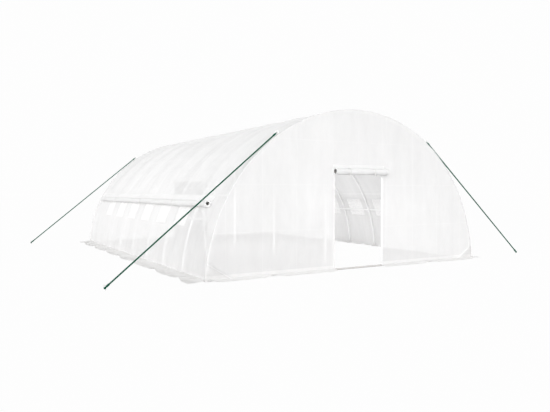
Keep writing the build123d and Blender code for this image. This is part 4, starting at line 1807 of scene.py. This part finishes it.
@dataclass
class GuyLines:
    """The taut ropes at the corners, with their rings on the ends and their pegs in the ground."""

    layout: Layout
    rope: bpy.types.Material
    zinc: bpy.types.Material
    strap: bpy.types.Material
    arch: ArchSheet
    rope_place: float = 3.975
    ring_angle: float = math.radians(56.0)
    ring_radius: float = 0.0275
    ring_thick: float = 0.0070
    ring_proud: float = 0.0368
    peg_place: float = 4.50
    peg_radius: float = 0.0075
    peg_height: float = 0.066
    peg_bend: float = 0.020
    tie_height: float = 0.045
    strand: float = 0.0062
    strand_offset: float = 0.0068
    pitch: float = 0.085
    steps_a_turn: int = 10
    tab_length: float = 0.13
    tab_width: float = 0.036
    tab_thick: float = 0.0014
    tab_proud: float = 0.0017
    tab_fit: float = 0.0004
    eye_gap: float = 0.012
    eye_radius: float = 0.0125
    eye_thick: float = 0.0058
    tie_gap: float = 0.004
    knot_gap: float = 0.0052
    knot_rises: tuple[float, ...] = (-0.011, 0.0, 0.011)
    knot_thick: float = 0.0055
    wrap_radius: float = 0.0128
    wrap_thick: float = 0.0045
    wrap_pitch: float = 0.0085
    ring_wraps: tuple[float, int] = (0.02, 5)
    peg_wraps: tuple[float, int] = (0.06, 6)

    @property
    def ring_centre(self) -> Vector:
        """The middle of the right front ring."""
        reach = self.layout.cover_radius + self.ring_proud
        return self.layout.point(reach, self.ring_angle, -self.rope_place)

    @property
    def tie(self) -> Vector:
        """Where the right front rope is tied to its peg."""
        return Vector((self.peg_place, -self.rope_place, self.tie_height))

    def build(self) -> None:
        """Builds the ropes, the rings with their tabs, and the pegs."""
        self.ropes()
        self.rings()
        self.tabs()
        self.pegs()

    def ropes(self) -> None:
        """Builds the laid ropes, each with an eye at both ends."""
        way = (self.tie - self.ring_centre).normalized()
        start = self.ring_centre + way * (self.ring_radius + self.eye_gap)
        end = self.tie - way * (self.peg_radius + self.tie_gap)
        long = (end - start).length
        pattern, turn = Piece("rope"), pointed(way)
        steps = int(long / self.pitch * self.steps_a_turn)
        angle = math.tau * steps / self.steps_a_turn
        for strand in range(3):
            lean = turned(strand * math.tau / 3, "Z") @ moved(self.strand_offset, 0, 0)
            ring = pattern.circle(Matrix.Translation(start) @ turn @ lean, self.strand, 7)
            pattern.sweep(ring, start, way, angle, steps, dvec=way * (long / steps))
        pattern.cap()
        lying = Matrix.Translation(self.ring_centre + way * self.ring_radius) @ turn
        pattern.loop(lying @ turned(QUARTER, "Y"), self.eye_radius, self.eye_thick, 20, 8)
        for rise in self.knot_rises:
            around = Matrix.Translation(self.tie) @ moved(0, 0, rise)
            pattern.loop(around, self.peg_radius + self.knot_gap, self.knot_thick, 20, 8)
        near, far = self.ring_wraps, self.peg_wraps
        for first, wraps in ((start + way * near[0], near[1]), (end - way * far[0], far[1])):
            for wrap in range(wraps):
                spot = Matrix.Translation(first + way * self.wrap_pitch * wrap) @ turn
                pattern.loop(spot, self.wrap_radius, self.wrap_thick, 16, 6)
        pattern.repeat("guy_rope_lines", corner_spots(), self.rope, Slot.ROPE, ["guy_ropes"], 1.6)

    def rings(self) -> None:
        """Builds the welded rings that the ropes pull on."""
        pattern = Piece("ring")
        spot = Matrix.Translation(self.ring_centre) @ turned(QUARTER, "X")
        pattern.loop(spot, self.ring_radius, self.ring_thick, 32, 12)
        pattern.repeat("tie_rings", corner_spots(), self.zinc, Slot.STEEL, ["rope_rings"])

    def tabs(self) -> None:
        """Builds the webbing tabs, sewn to the roof over the end hoops, that hold the rings."""
        pattern, layout = Piece("tab"), self.layout
        pattern.grid(self.tab_length, self.tab_width, (10, 3))
        for vert in pattern.mesh.verts:
            angle = self.ring_angle + vert.co.x / layout.cover_radius
            vert.co = self.arch.surface(angle, vert.co.y - self.rope_place, self.tab_proud)
        bmesh.ops.solidify(pattern.mesh, geom=pattern.mesh.faces, thickness=self.tab_thick)
        inner = layout.cover_radius + self.ring_proud - self.ring_radius
        around = layout.radial(self.ring_angle, -self.rope_place) @ moved(inner, 0, 0)
        pattern.band(around, self.ring_thick + self.tab_fit, self.tab_width * 0.7, self.tab_thick)
        pattern.repeat("ring_tabs", corner_spots(), self.strap, Slot.STRAP)

    def pegs(self) -> None:
        """Builds the ground pegs, bent over at the top."""
        pattern = Piece("peg")
        mesh = pattern.mesh
        foot = moved(self.peg_place, -self.rope_place, 0.0)
        ring = pattern.circle(foot, self.peg_radius, 12)
        shaft = bmesh.ops.extrude_edge_only(mesh, edges=only(bmesh.types.BMEdge, ring))["geom"]
        top = only(bmesh.types.BMVert, shaft)
        bmesh.ops.translate(mesh, verts=top, vec=(0, 0, self.peg_height))
        rim = [edge for edge in only(bmesh.types.BMEdge, shaft) if set(top).issuperset(edge.verts)]
        centre = foot @ Vector((self.peg_bend, 0, self.peg_height))
        last = pattern.sweep(top + rim, centre, (0, 1, 0), math.radians(125), 10)
        bmesh.ops.extrude_edge_only(mesh, edges=only(bmesh.types.BMEdge, last))
        pattern.cap()
        bmesh.ops.remove_doubles(mesh, verts=mesh.verts, dist=SAME)
        pattern.repeat("bent_pegs", corner_spots(), self.zinc, Slot.STEEL, ["guy_pegs"])


@dataclass
class Studio:
    """The floor, the light and the camera."""

    floor: bpy.types.Material
    camera_place: tuple[float, float, float] = (-6.361, -11.771, 1.395)
    yaw: float = 30.65
    pitch: float = -1.54
    focal_share: float = 551.0 / 550.0
    fill: float = 0.46
    behind_film: float = 0.30
    backdrop: float = 0.986
    key_strength: float = 4.6
    key_from: tuple[float, float, float] = (-0.70, -0.70, 0.10)
    back_strength: float = 0.35
    back_from: tuple[float, float, float] = (0.75, 0.45, 0.35)
    spread: float = 60.0
    inner_strength: float = 14.0
    end_strength: float = 16.0
    side_panel: float = 6.6
    end_panel: float = 4.4
    panel_height: float = 1.3
    panel_middle: float = 0.75
    floor_size: float = 180.0
    far_clip: float = 400.0
    sensor: float = 36.0

    def build(self) -> None:
        """Builds the whole studio."""
        self.lay_floor()
        self.light()
        self.set_camera()
        bpy.context.scene.view_settings.view_transform = "Standard"

    def lay_floor(self) -> None:
        """Lays the floor, well past what the camera sees."""
        piece = Piece("studio_floor")
        piece.grid(self.floor_size, self.floor_size, (8, 8))
        piece.finish_mesh(self.floor)

    def light(self) -> None:
        """Adds a pale world, white in plain sight, two soft lamps and four panels inside the tunnel."""
        recipe = Recipe(bpy.data.worlds.new("studio_world"))
        veiled = self.fill + recipe.ray("Is Camera Ray") * (self.behind_film - self.fill)
        level = veiled + recipe.in_plain_sight() * (self.backdrop - veiled)
        sky = recipe.add("ShaderNodeBackground", None, {"Color": WHITE, "Strength": level})
        bpy.context.scene.world = recipe.close(sky)
        self.far_lamp("key_lamp", self.key_strength, self.key_from)
        self.far_lamp("back_lamp", self.back_strength, self.back_from)
        for side in Side:
            way = (side.value, 0, 0)
            self.inner_lamp(f"{side.label}_panel", way, self.side_panel, self.inner_strength)
        for end in End:
            way = (0, end.value, 0)
            self.inner_lamp(f"{end.label}_panel", way, self.end_panel, self.end_strength)

    def put(self, data: bpy.types.ID, way: Sequence[float], axis: str) -> bpy.types.Object:
        """Puts a lamp or a camera into the scene.

        Args:
            data: The lamp or camera.
            way: A direction.
            axis: The axis of the object that points along it.

        Returns:
            The object, under the name of its data.
        """
        made = bpy.data.objects.new(data.name, data)
        made.rotation_mode = "QUATERNION"
        made.rotation_quaternion = Vector(way).to_track_quat(axis, "Y")
        bpy.context.scene.collection.objects.link(made)
        return made

    def inner_lamp(self, name: str, way: Sequence[float], width: float, strength: float) -> None:
        """Adds an upright lamp panel in the middle of the tunnel.

        Args:
            name: The lamp's name.
            way: The direction that it shines in.
            width: Its width; all the panels are as high.
            strength: Its strength.
        """
        lamp = bpy.data.lights.new(name, "AREA")
        lamp.shape = "RECTANGLE"
        lamp.size = width
        lamp.size_y = self.panel_height
        lamp.energy = strength
        made = self.put(lamp, way, "-Z")
        made.location = (0, 0, self.panel_middle)
        made.visible_camera = False
        made.visible_glossy = False

    def far_lamp(self, name: str, strength: float, side: Sequence[float]) -> None:
        """Adds a soft lamp so far off that it lights every place alike.

        Args:
            name: The lamp's name.
            strength: Its strength.
            side: The direction that it shines from.
        """
        lamp = bpy.data.lights.new(name, "SUN")
        lamp.energy = strength
        lamp.angle = math.radians(self.spread)
        self.put(lamp, side, "Z")

    def set_camera(self) -> None:
        """Sets the camera at the photograph's place and angle."""
        yaw, pitch = math.radians(self.yaw), math.radians(self.pitch)
        level = math.cos(pitch)
        lens = bpy.data.cameras.new("view_camera")
        lens.sensor_width = self.sensor
        lens.lens = lens.sensor_width * self.focal_share
        lens.clip_end = self.far_clip
        made = self.put(lens, (math.sin(yaw) * level, math.cos(yaw) * level, math.sin(pitch)), "-Z")
        made.location = self.camera_place
        bpy.context.scene.camera = made


def main() -> None:
    """Builds every piece in order."""
    logging.basicConfig(level=logging.INFO, format="%(name)s: %(message)s")
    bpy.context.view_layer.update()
    layout = Layout()
    zinc = ZincFinish("zinc_tube").make()
    seam = layout.cover_radius * (layout.seam_angle - layout.foot_angle)
    around = layout.cover_radius * (math.pi - 2 * layout.foot_angle)
    arch_film = FilmFinish("arch_film", seams=(0.02, seam, around - seam, around - 0.02)).make()
    end_film = FilmFinish(
        "end_film", streaks=0.24, seams=(0.045,), seam_half=0.045, weld=0.10, tucked=True
    ).make()
    # The flaps' darker colour and heavy dust stand partly for dirt and partly for painted shade on the flaps
    # lying on the ground.
    flap_film = FilmFinish(
        "flap_film", colour=(0.84, 0.835, 0.83, 1.0), opacity=0.90, glow=0.15, dust=0.9
    ).make()
    rolled_film = FilmFinish(
        "rolled_film", colour=(0.88, 0.88, 0.88, 1.0), opacity=0.95, glow=0.12, dust=0.0, soiled_hem=0.2
    ).make()
    binding = FilmFinish("binding_tape", opacity=0.80, glow=0.20, dust=0.0).make()
    net = NetFinish("insect_net").make()
    webbing = WebbingFinish("tie_webbing").make()
    rope = RopeFinish("green_rope").make()
    hoops = HoopFrame(layout, zinc).build()
    PurlinSet(layout, zinc).build()
    StandingFrame(layout, zinc, ZincFinish("sill_shade_zinc", trodden=0.75).make()).build()
    arch = ArchSheet(layout, arch_film, binding, net)
    arch.build(hoops)
    for end in End:
        EndSheet(layout, end_film, end, binding).build()
    GroundFlaps(layout, flap_film).build()
    WindowRolls(layout, arch, rolled_film, webbing).build()
    DoorRolls(layout, rolled_film, webbing).build()
    GuyLines(layout, rope, zinc, webbing, arch).build()
    Studio(FloorFinish("studio_white").make()).build()


if __name__ == "__main__":
    main()
